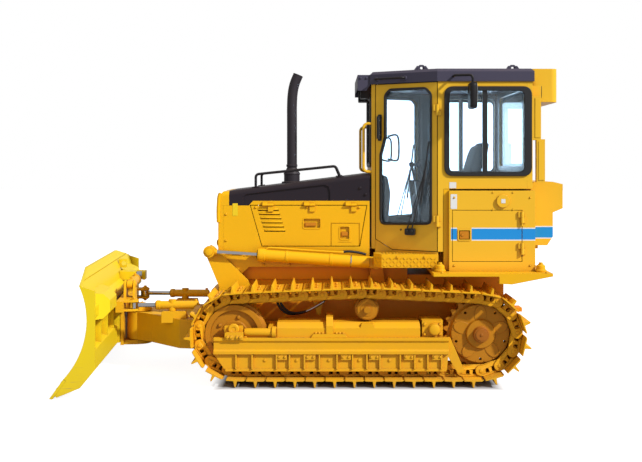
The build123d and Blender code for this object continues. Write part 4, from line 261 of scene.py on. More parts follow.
def use_effect(tree, group, **values):
    """One of the shared effects, placed in a material with its own values."""
    made = add_node(tree, "Group")
    made.node_tree = group
    for socket, value in values.items():
        made.inputs[socket].default_value = value
    return made.outputs


def bump(tree, height, strength, distance):
    """A Bump node over a height."""
    made = add_node(tree, "Bump")
    made.inputs["Strength"].default_value = strength
    made.inputs["Distance"].default_value = distance
    tree.links.new(height, made.inputs["Height"])
    return made


# the last colour is painted shade: the orange-brown that recesses darken to
DUST, PRIMER, RECESS_SHADE_COLOUR = (0.46, 0.24, 0.050), (0.20, 0.085, 0.03), (0.30, 0.085, 0.006)


def painted(name, colour, gloss=0.34, dust=0.35, dust_top=0.9, rub=0.35, stripes=None, shade_in_recesses=0.6):
    """A sprayed coat: colour x tone, painted shade in recesses, primer on rubbed edges, then dust; gloss
    falls where dust lies. stripes, where given, is a function that lays bands of another colour over the
    coat."""
    made = bpy.data.materials.new(name)
    made.use_nodes = True
    tree, skin = made.node_tree, skin_of(made)
    coat = use_effect(tree, sprayed_skin)
    toned = add_node(tree, "VectorMath", operation="SCALE")
    toned.inputs[0].default_value = colour
    tree.links.new(coat["Tone"], toned.inputs["Scale"])
    laid = toned.outputs[0] if stripes is None else stripes(tree, toned.outputs[0])
    worn = use_effect(tree, rubbed_edge, Amount=rub)
    soiled = use_effect(tree, ground_dust, Amount=dust, Top=dust_top)["Mask"]
    aged = mix_colour(tree, use_effect(tree, recess_shade, Amount=shade_in_recesses)["Mask"], laid, RECESS_SHADE_COLOUR)
    bare = mix_colour(tree, worn["Mask"], aged, PRIMER)
    tree.links.new(mix_colour(tree, soiled, bare, DUST), skin.inputs["Base Color"])
    tree.links.new(calc(tree, "MULTIPLY_ADD", soiled, 0.45, gloss), skin.inputs["Roughness"])
    skin.inputs["Specular IOR Level"].default_value = 0.22
    peel = bump(tree, coat["Peel"], 0.06, 0.0006)
    tree.links.new(worn["Soft Normal"], peel.inputs["Normal"])
    tree.links.new(peel.outputs[0], skin.inputs["Normal"])
    return made


def dress(material, *nodes):
    """The material on CAD nodes whose shape already is the real one."""
    for node in nodes:
        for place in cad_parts[node].material_slots:
            place.material = material


# The frame's coat is a darker, more orange copy of the yellow paint: painted shade, for the shade that lies
# under the machine.
shaded_chassis_yellow = painted("shaded_chassis_yellow", (0.94, 0.34, 0.004), shade_in_recesses=0.7)
dress(shaded_chassis_yellow, "main_frame", "drawbar")


# ---------------------------------------------------------------- track frames
# Each track frame is a box beam with a bolted clamp, a channel along its outer face and guards down to the
# rollers. Bolt heads sit on the clamp's feet, the fork's caps, the housing's plate and the roller shafts.
UP, LEFT = (0, 0, 1), (0, 1, 0)


def gathered(parts):
    """One array of points and one list of faces from several shapes."""
    points, faces, start = [], [], 0
    for part_points, part_faces in parts:
        points.append(np.asarray(part_points, float))
        faces += [tuple(start + corner for corner in face) for face in part_faces]
        start += len(part_points)
    return np.concatenate(points), faces


def piece(name, parts, material, body="tractor", smooth=None):
    """A scene object from shapes, with its material, riding on a body; edges up to the smooth angle are
    shaded soft."""
    points, faces = gathered(parts)
    mesh = bpy.data.meshes.new(name)
    mesh.from_pydata(points.tolist(), [], faces)
    mesh.validate()
    made = bpy.data.objects.new(name, mesh)
    bpy.context.scene.collection.objects.link(made)
    mesh.materials.append(material)
    if smooth is not None:
        mesh.shade_smooth()
        mesh.set_sharp_from_angle(angle=radians(smooth))
    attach(made, body)
    return made


def ring_faces(rings, sides, closed=False):
    """Quads between rings of sides points each; an open run is capped at both ends."""
    faces = []
    for ring in range(rings if closed else rings - 1):
        after = (ring + 1) % rings
        for side in range(sides):
            turn = (side + 1) % sides
            faces.append((ring * sides + side, ring * sides + turn,
                          after * sides + turn, after * sides + side))
    if not closed:
        faces += [tuple(reversed(range(sides))), tuple(range((rings - 1) * sides, rings * sides))]
    return faces


def across(way):
    """Two unit vectors square to a way and to each other."""
    way = np.asarray(way, float)
    first = np.cross(way, UP if abs(way[2]) < 0.9 * np.linalg.norm(way) else (1, 0, 0))
    first /= np.linalg.norm(first)
    return first, np.cross(way / np.linalg.norm(way), first)


def lathe(place, way, profile, sides=20):
    """A shape turned about way through place; profile lists (height along way, radius)."""
    way = np.asarray(way, float) / np.linalg.norm(way)
    first, second = across(way)
    turns = 2 * pi * np.arange(sides) / sides
    rims = np.cos(turns)[:, None] * first + np.sin(turns)[:, None] * second
    points = [np.asarray(place) + way * rise + rims * max(radius, 1e-5) for rise, radius in profile]
    return np.concatenate(points), ring_faces(len(profile), sides)


def bolt_head(place, way, size):
    """A hexagon head of that half width on its washer, standing on place."""
    return gathered([lathe(place, way, [(-0.002, size * 1.45), (size * 0.22, size * 1.45)], 12),
                     lathe(place, way, [(size * 0.2, size * 1.12), (size * 1.0, size * 1.12),
                                        (size * 1.15, size * 0.9)], 6)])


def side_bolts(y, size, places):
    """Bolt heads on a face that looks to the left; places lists (X, Z)."""
    return [bolt_head((x, y, z), LEFT, size) for x, z in places]


def both(shapes):
    """The shapes and their mirror images on the other side of the machine."""
    points, faces = gathered(shapes)
    return [(points, faces), (points * (1, -1, 1), [tuple(reversed(face)) for face in faces])]


def ring_places(centre, radius, count, start=0.0):
    """Places (X, Z) evenly round a circle about the centre's X and Z."""
    turns = [start + 2 * pi * step / count for step in range(count)]
    return [(centre[0] + radius * cos(turn), centre[2] + radius * sin(turn)) for turn in turns]


def side_plate(outline, low, high):
    """A plate between two distances from the machine's middle, from an outline in X, Z."""
    return [(x, y, z) for y in (low, high) for x, z in outline], ring_faces(2, len(outline))


track_yellow = painted("track_yellow", (0.87, 0.43, 0.006), gloss=0.40, dust=0.38, dust_top=0.75, rub=0.45)
dress(track_yellow, "track_frame_left", "track_frame_right")
face_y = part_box("track_frame_left")[1][1]
HOUSING_CAP = (-1.090, 0.891, 0.488)
bolts = [bolt_head((x, 0.880, 0.419), UP, 0.014) for x in (-0.060, -0.135, -0.245, -0.320)]
bolts += side_bolts(0.884, 0.014, [(x, 0.420) for x in (0.545, 0.590, 0.660, 0.705)])
bolts += side_bolts(0.864, 0.012, [(x, z) for x in (-1.142, -1.008) for z in (0.445, 0.530)])
bolts += side_bolts(face_y - 0.009, 0.009,
                    [(roller_x + off, 0.254) for roller_x in (0.228, -0.017, -0.323, -0.568, -0.867, -1.112)
                     for off in (-0.026, 0.026)])
bolts += side_bolts(HOUSING_CAP[1], 0.006, ring_places(HOUSING_CAP, 0.034, 6))
bolts += [lathe((plug_x, 0.889, 0.222), LEFT,
                [(0, 0.016), (0.004, 0.015), (0.005, 0.008), (0.009, 0.008)], 16)
          for plug_x in (0.377, 0.103, -0.177, -0.438, -0.700, -0.970)]
piece("track_frame_bolts", both(bolts), track_yellow, smooth=35)

# feet of the clamp, the idler's bearing cap with its bolts and boss, and the recoil rod behind the cap
fittings = [side_plate([(-0.020, 0.420), (-0.042, 0.452), (-0.318, 0.452), (-0.340, 0.420)], 0.862, 0.908),
            side_plate([(0.560, 0.404), (0.560, 0.462), (0.568, 0.470), (0.712, 0.470), (0.720, 0.462),
                        (0.720, 0.404)], 0.884, 0.931),
            lathe((0.646, 0.884, 0.492), LEFT,
                  [(0, 0.048), (0.020, 0.048), (0.026, 0.042), (0.026, 0.022), (0.022, 0.020)], 28),
            lathe((0.555, 0.872, 0.462), (-1, 0, 0),
                  [(0, 0.030), (0.020, 0.036), (0.235, 0.036), (0.240, 0.050), (0.272, 0.050)], 28),
            lathe(HOUSING_CAP, LEFT, [(0, 0.046), (0.010, 0.044), (0.014, 0.036)], 30)]
fittings += [bolt_head((x, 0.886, 0.452), UP, 0.012)
             for x in (-0.062, -0.092, -0.122, -0.240, -0.270, -0.300)]
fittings += side_bolts(0.931, 0.011, [(x, 0.428) for x in (0.585, 0.615, 0.665, 0.695)])
piece("track_frame_fittings", both(fittings), track_yellow, smooth=35)


# ---------------------------------------------------------------- track wheels
# The sprocket's flat disc carries a ring of bolts round the hub cap and another round the rim; the idler has
# a cover with its own small bolts. Tooth flanks and the idler's treads are rubbed by the chain.
SPROCKET, IDLER, CARRIER = (-1.503, 0.794, 0.4347), (0.646, 0.843, 0.4347), (-0.510, 0.8365, 0.6531)
GREASE, GREASE_R, FADE = (0.34, 0.085, 0.006), 0.066, 0.012


def hub_grease(tree, colour):
    """Darker, red-brown paint on the sprocket's hub cap, where grease has burnt in; it fades over FADE."""
    level = add_node(tree, "VectorMath", operation="MULTIPLY")
    level.inputs[1].default_value = (1, 0, 1)
    tree.links.new(place_of(tree), level.inputs[0])
    from_hub = add_node(tree, "VectorMath", operation="DISTANCE")
    tree.links.new(level.outputs[0], from_hub.inputs[0])
    from_hub.inputs[1].default_value = (SPROCKET[0], 0, SPROCKET[2])
    fade = add_node(tree, "MapRange")
    fade.inputs["From Min"].default_value = GREASE_R + FADE
    fade.inputs["From Max"].default_value = GREASE_R
    tree.links.new(from_hub.outputs["Value"], fade.inputs["Value"])
    return mix_colour(tree, calc(tree, "MULTIPLY", fade.outputs[0], 0.8), colour, GREASE)


# The wheels' coat is a darker, more orange copy of the yellow paint: painted shade, for the shade on the
# sprocket's disc and the idler.
shaded_wheel_yellow = painted("shaded_wheel_yellow", (0.52, 0.205, 0.003), gloss=0.44, dust=0.28, dust_top=0.95, rub=0.5,
                       stripes=hub_grease, shade_in_recesses=0.5)
dress(shaded_wheel_yellow, "sprockets", "idlers", "rollers")
heads = side_bolts(SPROCKET[1], 0.0085, ring_places(SPROCKET, 0.104, 16))
heads += side_bolts(0.784, 0.007, ring_places(SPROCKET, 0.245, 20, 0.15))
heads += side_bolts(IDLER[1], 0.007, ring_places(IDLER, 0.044, 6))
heads.append(lathe((SPROCKET[0], 0.856, SPROCKET[2]), LEFT,
                   [(0, 0.052), (0.006, 0.050), (0.008, 0.012), (0.014, 0.010)], 32))
heads += side_bolts(0.812, 0.013, ring_places(IDLER, 0.150, 5, 0.55))
heads.append(lathe((IDLER[0], 0.790, IDLER[2]), LEFT,
                   [(0, 0.209), (0.022, 0.2085), (0.024, 0.204), (0.018, 0.200), (0.018, 0.118),
                    (0.027, 0.112), (0.027, 0.088), (0.020, 0.082), (0.020, 0.030)], 64))
heads.append(lathe(CARRIER, LEFT,
                   [(0, 0.086), (0.003, 0.084), (0.003, 0.062), (0.006, 0.058), (0.006, 0.034)], 48))
piece("wheel_bolts", both(heads), shaded_wheel_yellow, smooth=35)


# ---------------------------------------------------------------- track chains
# 37 forged links on pins, each with two windows over its shoe's bolts, and a rolled steel shoe with one
# grouser. The links' ends lie side by side, the rear one inside; the chain runs round sprocket and idler and
# over one roller. Each link spans two teeth of the sprocket.
PITCH, SHOES, TEETH = 0.17145, 37, 23
PIN_R = PITCH / 2 / sin(radians(360 / TEETH))
SHOE_OUT, CHAIN_RISE, TRACK_Y = 0.117, 0.046, 0.735
WHEEL_Z = PIN_R + SHOE_OUT


def pin_loop():
    """The pins at even steps along two half circles, a level lower run and an upper run over the carrier."""
    rear, front, over = SPROCKET[0], IDLER[0], CARRIER[0]
    low, high = WHEEL_Z - PIN_R, WHEEL_Z + PIN_R
    turns = np.linspace(0, pi, 400)
    path = np.concatenate([
        [(rear, low), (front, low)],
        np.stack([front + PIN_R * np.sin(turns), WHEEL_Z - PIN_R * np.cos(turns)], 1),
        [(front, high), (over, high + CHAIN_RISE), (rear, high)],
        np.stack([rear - PIN_R * np.sin(turns), WHEEL_Z + PIN_R * np.cos(turns)], 1)])
    reach = np.concatenate([[0], np.cumsum(np.hypot(*np.diff(path, axis=0).T))])
    steps = reach[-1] * np.arange(SHOES) / SHOES
    return np.stack([np.interp(steps, reach, path[:, 0]), np.interp(steps, reach, path[:, 1])], 1)


def outline_mesh(name, outlines, half, bevel):
    """A flat shape from closed outlines, holes included, with that half thickness and a bevelled rim."""
    curve = bpy.data.curves.new(name, "CURVE")
    curve.dimensions = "2D"
    curve.fill_mode = "BOTH"
    curve.extrude = half - bevel
    curve.bevel_depth = bevel
    curve.bevel_resolution = 0
    for outline in outlines:
        spline = curve.splines.new("POLY")
        spline.points.add(len(outline) - 1)
        spline.points.foreach_set("co", np.concatenate(
            [np.asarray(outline), np.zeros((len(outline), 1)), np.ones((len(outline), 1))], 1).ravel())
        spline.use_cyclic_u = True
    holder = bpy.data.objects.new(name, curve)
    mesh = holder.to_mesh()
    points = np.empty(len(mesh.vertices) * 3)
    mesh.vertices.foreach_get("co", points)
    faces = [tuple(face.vertices) for face in mesh.polygons]
    points = points.reshape(-1, 3).copy()
    holder.to_mesh_clear()
    bpy.data.objects.remove(holder)
    bpy.data.curves.remove(curve)
    return points, faces


def arc(centre, radius, start, end, steps):
    """Points on an arc, angles in degrees."""
    turns = np.radians(np.linspace(start, end, steps))
    return [(centre[0] + radius * cos(turn), centre[1] + radius * sin(turn)) for turn in turns]


# link plate in its own plane: first along the chain, second outwards; rail tread below, shoe above
half_pitch = PITCH / 2
link_outline = (arc((-half_pitch, -0.003), 0.045, 110, 262, 9) + arc((-0.046, -0.068), 0.020, 120, 75, 4)
                + [(-0.030, -0.0495), (0.030, -0.0495)] + arc((0.046, -0.068), 0.020, 105, 60, 4)
                + arc((half_pitch, -0.003), 0.045, -82, 70, 9) + [(0.072, 0.0495), (-0.072, 0.0495)])
windows = [[(middle - 0.019, 0.030)] + arc((middle, 0.006), 0.019, 180, 360, 8) + [(middle + 0.019, 0.030)]
           for middle in (-0.032, 0.032)]
RAIL_OUT, RAIL_HALF, RAIL_BEVEL, OFFSET, OFFSET_REACH = 0.080, 0.0098, 0.0024, 0.0104, 0.022
plate_points, plate_faces = outline_mesh("link_plate", [link_outline] + windows, RAIL_HALF, RAIL_BEVEL)
swing = np.clip(plate_points[:, 0] / OFFSET_REACH, -1, 1) * OFFSET
link_parts = []
for side in (-1, 1):
    rail = np.stack([plate_points[:, 0], side * (RAIL_OUT + plate_points[:, 2] + swing),
                     plate_points[:, 1]], 1)
    link_parts.append((rail, plate_faces if side < 0 else [tuple(reversed(face)) for face in plate_faces]))
    link_parts.append(lathe((-half_pitch, side * 0.1005, 0), (0, side, 0),
                            [(-0.03, 0.017), (0.0035, 0.017), (0.005, 0.012)], 16))
link_parts.append(lathe((-half_pitch, -0.069, 0), LEFT, [(0, 0.030), (0.138, 0.030)]))
# shoe: a rolled profile (along, out), the same over the whole width but for its bevelled ends
shoe_profile = [(-0.084, 0.044), (-0.078, 0.0505), (0.078, 0.0505), (0.0805, 0.054), (0.0805, 0.0615),
                (0.018, 0.0630), (0.0135, 0.068), (0.0068, 0.112), (0.003, 0.1165), (-0.003, 0.1165),
                (-0.0068, 0.112), (-0.0135, 0.068), (-0.018, 0.0630), (-0.072, 0.0625), (-0.086, 0.052)]
shoe_points = []
for end, drawn_in in ((-0.2285, True), (-0.2255, False), (0.2255, False), (0.2285, True)):
    shoe_points += [(along * 0.985, end, 0.055 + (out - 0.055) * 0.97) if drawn_in else (along, end, out)
                    for along, out in shoe_profile]
link_parts.append((shoe_points, ring_faces(4, len(shoe_profile))))
for along in (-0.043, 0.043):
    for across_shoe, shank in ((-0.105, -0.0798), (-0.055, -0.07975), (0.055, 0.07975), (0.105, 0.0798)):
        link_parts.append(bolt_head((along, across_shoe, 0.0625), UP, 0.0105))
        link_parts.append(lathe((along * 0.75, shank, 0.030), UP, [(0, 0.011), (0.019, 0.011)], 8))
one_link, link_faces = gathered(link_parts)

chain_yellow = painted("chain_yellow", (0.88, 0.44, 0.008), gloss=0.42, dust=0.45, dust_top=0.45, rub=0.7,
                       shade_in_recesses=0.45)
pins = pin_loop()
chain = []
for here, after in zip(pins, np.roll(pins, -1, 0)):
    along = (after - here) / np.hypot(*(after - here))
    out = np.array([along[1], -along[0]])
    level = ((here + after) / 2)[:, None] + np.outer(along, one_link[:, 0]) + np.outer(out, one_link[:, 2])
    chain.append((np.stack([level[0], TRACK_Y + one_link[:, 1], level[1]], 1), link_faces))
for side_name, shape in zip(("left", "right"), both(chain)):
    track = piece(f"chain_{side_name}", [shape], chain_yellow, smooth=32)
    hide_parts(f"track_{side_name}")


# ---------------------------------------------------------------- hood and engine
# Pressed panels over the engine: a black sloping top, a yellow nose round the radiator, and on each side a
# top-hinged door with slanting louvres, a flush latch and a hatch behind it. The louvres are lanced: each
# slot has a lip that stands out over it.
def winding(outline):
    """1 for an outline that runs anticlockwise and -1 for one that runs clockwise: the sign of its area."""
    ahead = np.roll(outline, -1, 0)
    return 1 if np.sum(outline[:, 0] * ahead[:, 1] - ahead[:, 0] * outline[:, 1]) > 0 else -1


def slab(outline, to_space, low, high, round_off=0.002):
    """A closed outline (two numbers a point) between two heights, with narrow bevels; to_space gives X, Y, Z
    of (first, second, height)."""
    outline = np.asarray(outline, float)
    normals = []
    for edge in (outline - np.roll(outline, 1, 0), np.roll(outline, -1, 0) - outline):
        edge = edge / np.maximum(np.hypot(*edge.T), 1e-9)[:, None]
        normals.append(np.stack([edge[:, 1], -edge[:, 0]], 1))
    inward = normals[0] + normals[1]
    inward /= np.maximum((inward ** 2).sum(1), 0.3)[:, None] / 2
    inset = outline - inward * round_off * winding(outline)
    rings = [(inset, low), (outline, low + round_off), (outline, high - round_off), (inset, high)]
    points = [to_space(first, second, height) for flat, height in rings for first, second in flat]
    return points, ring_faces(4, len(outline))


def box_outline(low, high):
    """The four corners of a rectangle, from its lowest and highest corner."""
    return [(low[0], low[1]), (high[0], low[1]), (high[0], high[1]), (low[0], high[1])]


def rounded(corners, radius, steps=4):
    """A closed outline with its corners rounded; each corner is (first, second)."""
    corners = np.asarray(corners, float)
    outline = []
    for corner, before, after in zip(corners, np.roll(corners, 1, 0), np.roll(corners, -1, 0)):
        one, two = before - corner, after - corner
        one, two = one / np.hypot(*one), two / np.hypot(*two)
        half = np.arccos(np.clip(one @ two, -1, 1)) / 2
        reach = min(radius / np.tan(half),
                    0.45 * min(np.hypot(*(before - corner)), np.hypot(*(after - corner))))
        for share in np.linspace(0, 1, steps):
            outline.append(corner + one * reach * (1 - share) ** 2 + two * reach * share ** 2)
    return outline


def soft_box(low, high, radius, steps=4):
    """A rectangle with rounded corners."""
    return rounded(box_outline(low, high), radius, steps)


def bead(outline, to_space, profile):
    """A profile carried round a closed outline; profile lists (outwards in the outline's plane, height over
    it)."""
    outline = np.asarray(outline, float)
    after, before = np.roll(outline, -1, 0) - outline, outline - np.roll(outline, 1, 0)
    way = after / np.hypot(*after.T)[:, None] + before / np.hypot(*before.T)[:, None]
    way /= np.hypot(*way.T)[:, None]
    out = np.stack([way[:, 1], -way[:, 0]], 1) * winding(outline)
    points = [to_space(*(spot + normal * reach), height)
              for spot, normal in zip(outline, out) for reach, height in profile]
    return points, ring_faces(len(outline), len(profile), closed=True)


def on_side(y):
    """For outlines in X, Z on a panel that faces the machine's left: height stands out from y."""
    return lambda x, z, height: (x, y + height, z)


def on_top(z, fall=0.0, level_x=0.0):
    """For outlines in X, Y on a panel that faces up and falls forwards from level_x: height stands on z."""
    return lambda x, y, height: (x, y, z + height - (x - level_x) * fall)


def bar_along(path, radius, sides=12):
    """A round bar along points, mitred at each, with flat ends."""
    path = np.asarray(path, float)
    ways = np.gradient(path, axis=0)
    ways /= np.linalg.norm(ways, axis=1)[:, None]
    first = across(ways[0])[0]
    turns = 2 * pi * np.arange(sides) / sides
    points = []
    for spot, way in zip(path, ways):
        first = first - way * (first @ way)
        first /= np.linalg.norm(first)
        second = np.cross(way, first)
        points.append(spot + radius * (np.cos(turns)[:, None] * first + np.sin(turns)[:, None] * second))
    return np.concatenate(points), ring_faces(len(path), sides)


def eased(points, steps=8):
    """A smooth curve through the points (Catmull-Rom)."""
    points = np.asarray(points, float)
    longer = np.concatenate([[2 * points[0] - points[1]], points, [2 * points[-1] - points[-2]]])
    curve = []
    for start in range(len(points) - 1):
        a, b, c, d = longer[start:start + 4]
        for share in np.arange(steps) / steps:
            curve.append(0.5 * (2 * b + (c - a) * share + (2 * a - 5 * b + 4 * c - d) * share ** 2
                                + (3 * b - a - 3 * c + d) * share ** 3))
    return np.array(curve + [points[-1]])


def on_both(body, *pieces):
    """Pieces that ride on a body of each side; each is (name, its shapes on the left, material, smooth
    angle)."""
    for side_name, own in (("left", 0), ("right", 1)):
        for name, shapes, material, smooth in pieces:
            piece(f"{name}_{side_name}", [both(shapes)[own]], material, f"{body}_{side_name}", smooth)


YELLOW, DARK = (0.90, 0.47, 0.006), (0.016, 0.015, 0.017)
hood_yellow = painted("hood_yellow", YELLOW, gloss=0.27, dust=0.25, rub=0.2)
hood_black = painted("hood_black", (0.022, 0.016, 0.022), gloss=0.36, dust=0.10, rub=0.12, shade_in_recesses=0.0)
iron = painted("engine_paint", (0.10, 0.055, 0.02), gloss=0.55, dust=0.5, dust_top=1.4)
dark = painted("dark_parts", DARK, gloss=0.48, dust=0.12, rub=0.1, shade_in_recesses=0.0)
latch_orange = painted("latch_orange", (0.60, 0.22, 0.010), gloss=0.45, dust=0.2, rub=0.3)
dress(hood_yellow, "hood_sides", "engine_door_left", "engine_door_right", "hood_nose", "radiator_guard")
dress(hood_black, "hood_top")
dress(iron, "engine")

HOOD_Y, HOOD_FALL = 0.430, tan(radians(7))
DOOR_Y = HOOD_Y + 0.002
LIP = [(0.0, 0.007), (0.0042, 0.001), (0.0046, -0.009), (0.003, -0.011), (0.0, -0.004)]
HATCH_RIM = [(0.012, 0.0), (0.011, 0.003), (0.001, 0.003), (-0.001, -0.002), (-0.001, -0.006)]
LOUVRES, LOUVRE_LONG = 6, 0.190
door_trim = []
for louvre in range(LOUVRES):
    x, z = 0.475 - 0.012 * louvre, 1.509 - 0.038 * louvre
    lip = [(x - LOUVRE_LONG * share, DOOR_Y + out * stands, z + drop)
           for share, stands in ((0.0, 0.15), (0.03, 1), (0.97, 1), (1.0, 0.15)) for out, drop in LIP]
    door_trim.append((lip, ring_faces(4, len(LIP))))
for low, high in (((-0.097, 1.336), (0.054, 1.418)), ((-0.362, 1.235), (-0.280, 1.345))):
    door_trim.append(bead(soft_box(low, high, 0.010), on_side(DOOR_Y), HATCH_RIM))
door_trim.append(bead(soft_box((-0.383, 1.205), (-0.262, 1.206), 0.0003, 2), on_side(DOOR_Y),
                      [(0.0015, 0.0), (0.0, 0.0015), (-0.0003, 0.0)]))
door_trim += side_bolts(DOOR_Y, 0.009, [(x, 1.524) for x in (0.492, 0.022, -0.454)])
pulls = [slab(soft_box((-0.062, 1.352), (0.040, 1.384), 0.006), on_side(HOOD_Y - 0.012), 0.0, 0.010),
         slab(soft_box((-0.350, 1.262), (-0.292, 1.300), 0.005), on_side(HOOD_Y - 0.012), 0.0, 0.012)]
screen = slab(box_outline((0.190, 1.290), (0.520, 1.535)), on_side(HOOD_Y - 0.042), 0.0, 0.003, 0.0008)
on_both("engine_door", ("engine_door_trim", door_trim, hood_yellow, 35),
        ("engine_door_latches", pulls, latch_orange, 35), ("louvre_screen", [screen], dark, None))
corner_screen = slab(box_outline((-0.545, 1.300), (-0.478, 1.566)), on_side(HOOD_Y - 0.062), 0.0, 0.003,
                     0.0008)
piece("door_corner_screens", both([corner_screen]), dark)

# rolled corner beads of the nose, sill bolts, screws of the black top, and plates under the handrail's feet
nose_trim = [bar_along(eased([(0.815, 0.424, 1.655), (0.829, 0.426, 1.610), (0.835, 0.427, 1.50),
                              (0.833, 0.429, 1.385)], 6), 0.017, 14)]
nose_trim += side_bolts(HOOD_Y, 0.008, [(0.765, z) for z in (1.00, 1.22, 1.46)]
                        + [(x, 1.000) for x in (-0.30, -0.06, 0.18, 0.42)])
piece("nose_trim", both(nose_trim), hood_yellow, smooth=40)
top_trim = side_bolts(HOOD_Y, 0.010, [(-0.462, 1.700), (-0.512, 1.642)])
top_trim += [slab(soft_box((x - 0.034, 0.345), (x + 0.034, 0.399), 0.012),
                  on_top(z, HOOD_FALL, x), 0.0, 0.007) for x, z in ((0.496, 1.705), (-0.280, 1.800))]
piece("hood_top_trim", both(top_trim), hood_black, smooth=35)

# radiator core behind the bars of the guard: close fins, laid as a fine ribbed sheet
FINS, FIN_PITCH = 26, 0.0205
core = plain("radiator_core", (0.02, 0.02, 0.022), 0.6)
piece("radiator_fins",
      [slab(box_outline((0.776, -0.345), (0.790, 0.345)), on_top(0.99 + row * FIN_PITCH), 0.0, 0.011, 0.001)
       for row in range(FINS)], core)

# exhaust: a collar on the hood, the clamp over it, and the black pipe up to its dark mouth
EXHAUST_X, PIPE_R = 0.178, 0.048
EXHAUST_FOOT = 1.665 + (0.823 - EXHAUST_X) * HOOD_FALL


def exhaust_ring(rise, profile):
    """A turned ring about the exhaust's pipe, from a rise over its foot."""
    return lathe((EXHAUST_X, 0, EXHAUST_FOOT + rise), UP, profile, 40)


exhaust_black = painted("exhaust_black", (0.034, 0.028, 0.034), gloss=0.52, dust=0.10, rub=0.25, shade_in_recesses=0.0)
bend = eased([(0.177, 0, EXHAUST_FOOT + 0.05), (0.177, 0, 2.30), (0.177, 0, 2.48), (0.170, 0, 2.60),
              (0.152, 0, 2.69), (0.118, 0, 2.775)], 12)
mouth_way = bend[-1] - bend[-2]
pipe = piece("exhaust_pipe",
             [bar_along(bend, PIPE_R, 40), exhaust_ring(-0.058, [(0, 0.0755), (0.148, 0.0755)]),
              lathe(bend[-1], mouth_way, [(-0.004, 0.049), (0.002, 0.0495), (0.003, 0.046)], 40)],
             exhaust_black, smooth=40)
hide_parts("exhaust")
piece("exhaust_mouth", [lathe(bend[-1], mouth_way, [(0.0032, 0.044), (0.0036, 0.044)], 40)], dark)
piece("exhaust_collars",
      [exhaust_ring(0.0, [(-0.012, 0.098), (0.004, 0.098), (0.008, 0.090), (0.010, 0.078)]),
       exhaust_ring(0.088, [(-0.012, 0.079), (0.0, 0.079), (0.030, 0.058), (0.050, 0.0495)]),
       exhaust_ring(0.150, [(0, 0.0505), (0.002, 0.0535), (0.020, 0.0535), (0.022, 0.0505)])],
      exhaust_black, smooth=40)
rail_black = painted("rail_black", (0.020, 0.018, 0.021), gloss=0.33, dust=0.1, rub=0.2, shade_in_recesses=0.0)
dress(rail_black, "handrails")


# ---------------------------------------------------------------- deck and steps
# The deck plate carries the cab on rubber mounts; the steps under the doors are folded boxes with a rolled
# lozenge pattern on the tread and the outer face.
DECK_TOP, STEP_Y = 0.980, 0.751
deck_yellow = painted("deck_yellow", YELLOW, gloss=0.33, dust=0.3, dust_top=1.2, rub=0.5)
dress(deck_yellow, "deck")


def lozenges(corner, along, up, out, columns, rows, pitch=0.030):
    """Rolled lozenges in alternating directions over a face: each a low roof of four corners and a ridge."""
    corner, along, up, out = (np.asarray(v, float) for v in (corner, along, up, out))
    points, faces = [], []
    for column in range(columns):
        for row in range(rows):
            middle = corner + along * (column + 0.5) * pitch + up * (row + 0.5) * pitch
            lean = 1 if (column + row) % 2 else -1
            long_way = (along + up * lean) / 2 ** 0.5 * 0.0155
            short_way = (along - up * lean) / 2 ** 0.5 * 0.0055
            start = len(points)
            points += [middle - long_way, middle - short_way, middle + long_way, middle + short_way,
                       middle - long_way * 0.5 + out * 0.0045, middle + long_way * 0.5 + out * 0.0045]
            faces += [(start, start + 1, start + 5, start + 4), (start + 1, start + 2, start + 5),
                      (start + 2, start + 3, start + 4, start + 5), (start + 3, start, start + 4)]
    return points, faces


slope = np.array((-0.579 + 0.640, 0.640 - 0.750, 0)) / hypot(0.061, 0.110)
step_trim = [lozenges((-1.125, STEP_Y, 1.010), (1, 0, 0), UP, LEFT, 16, 3),
             lozenges((-1.120, 0.570, 1.1245), (1, 0, 0), LEFT, UP, 16, 5),
             lozenges((-0.640, 0.7505, 1.010), slope, UP, (-slope[1], slope[0], 0), 4, 3)]
step_trim += side_bolts(STEP_Y, 0.009, [(-1.02, 1.100), (-0.78, 1.100)])
step_trim += [bolt_head((x, 0.930, DECK_TOP), UP, 0.010) for x in (-2.05, -1.15)]
piece("step_tread", both(step_trim), deck_yellow)

# bolts and cups of the cab's mounts at the deck's outer edge
cups = [lathe((x, y, DECK_TOP), UP, [(0, 0.062), (0.010, 0.062), (0.022, 0.050), (0.060, 0.048)], 28)
        for x, y in ((-1.182, 0.560), (-1.940, 0.400), (-0.830, 0.335))]
for x in (-1.150, -2.030):
    cups.append(lathe((x, 0.800, DECK_TOP), UP,
                      [(0, 0.050), (0.014, 0.050), (0.020, 0.040), (0.052, 0.038), (0.060, 0.026)], 24))
    cups.append(bolt_head((x, 0.800, 1.040), UP, 0.017))
piece("cab_mount_cups", both(cups), deck_yellow, smooth=40)
# folded strip that closes the cab's base ahead of the side box
piece("base_strips", both([slab(box_outline((-1.238, 0.985), (-1.186, 1.698)), on_side(0.736), 0.0, 0.014)]),
      deck_yellow)


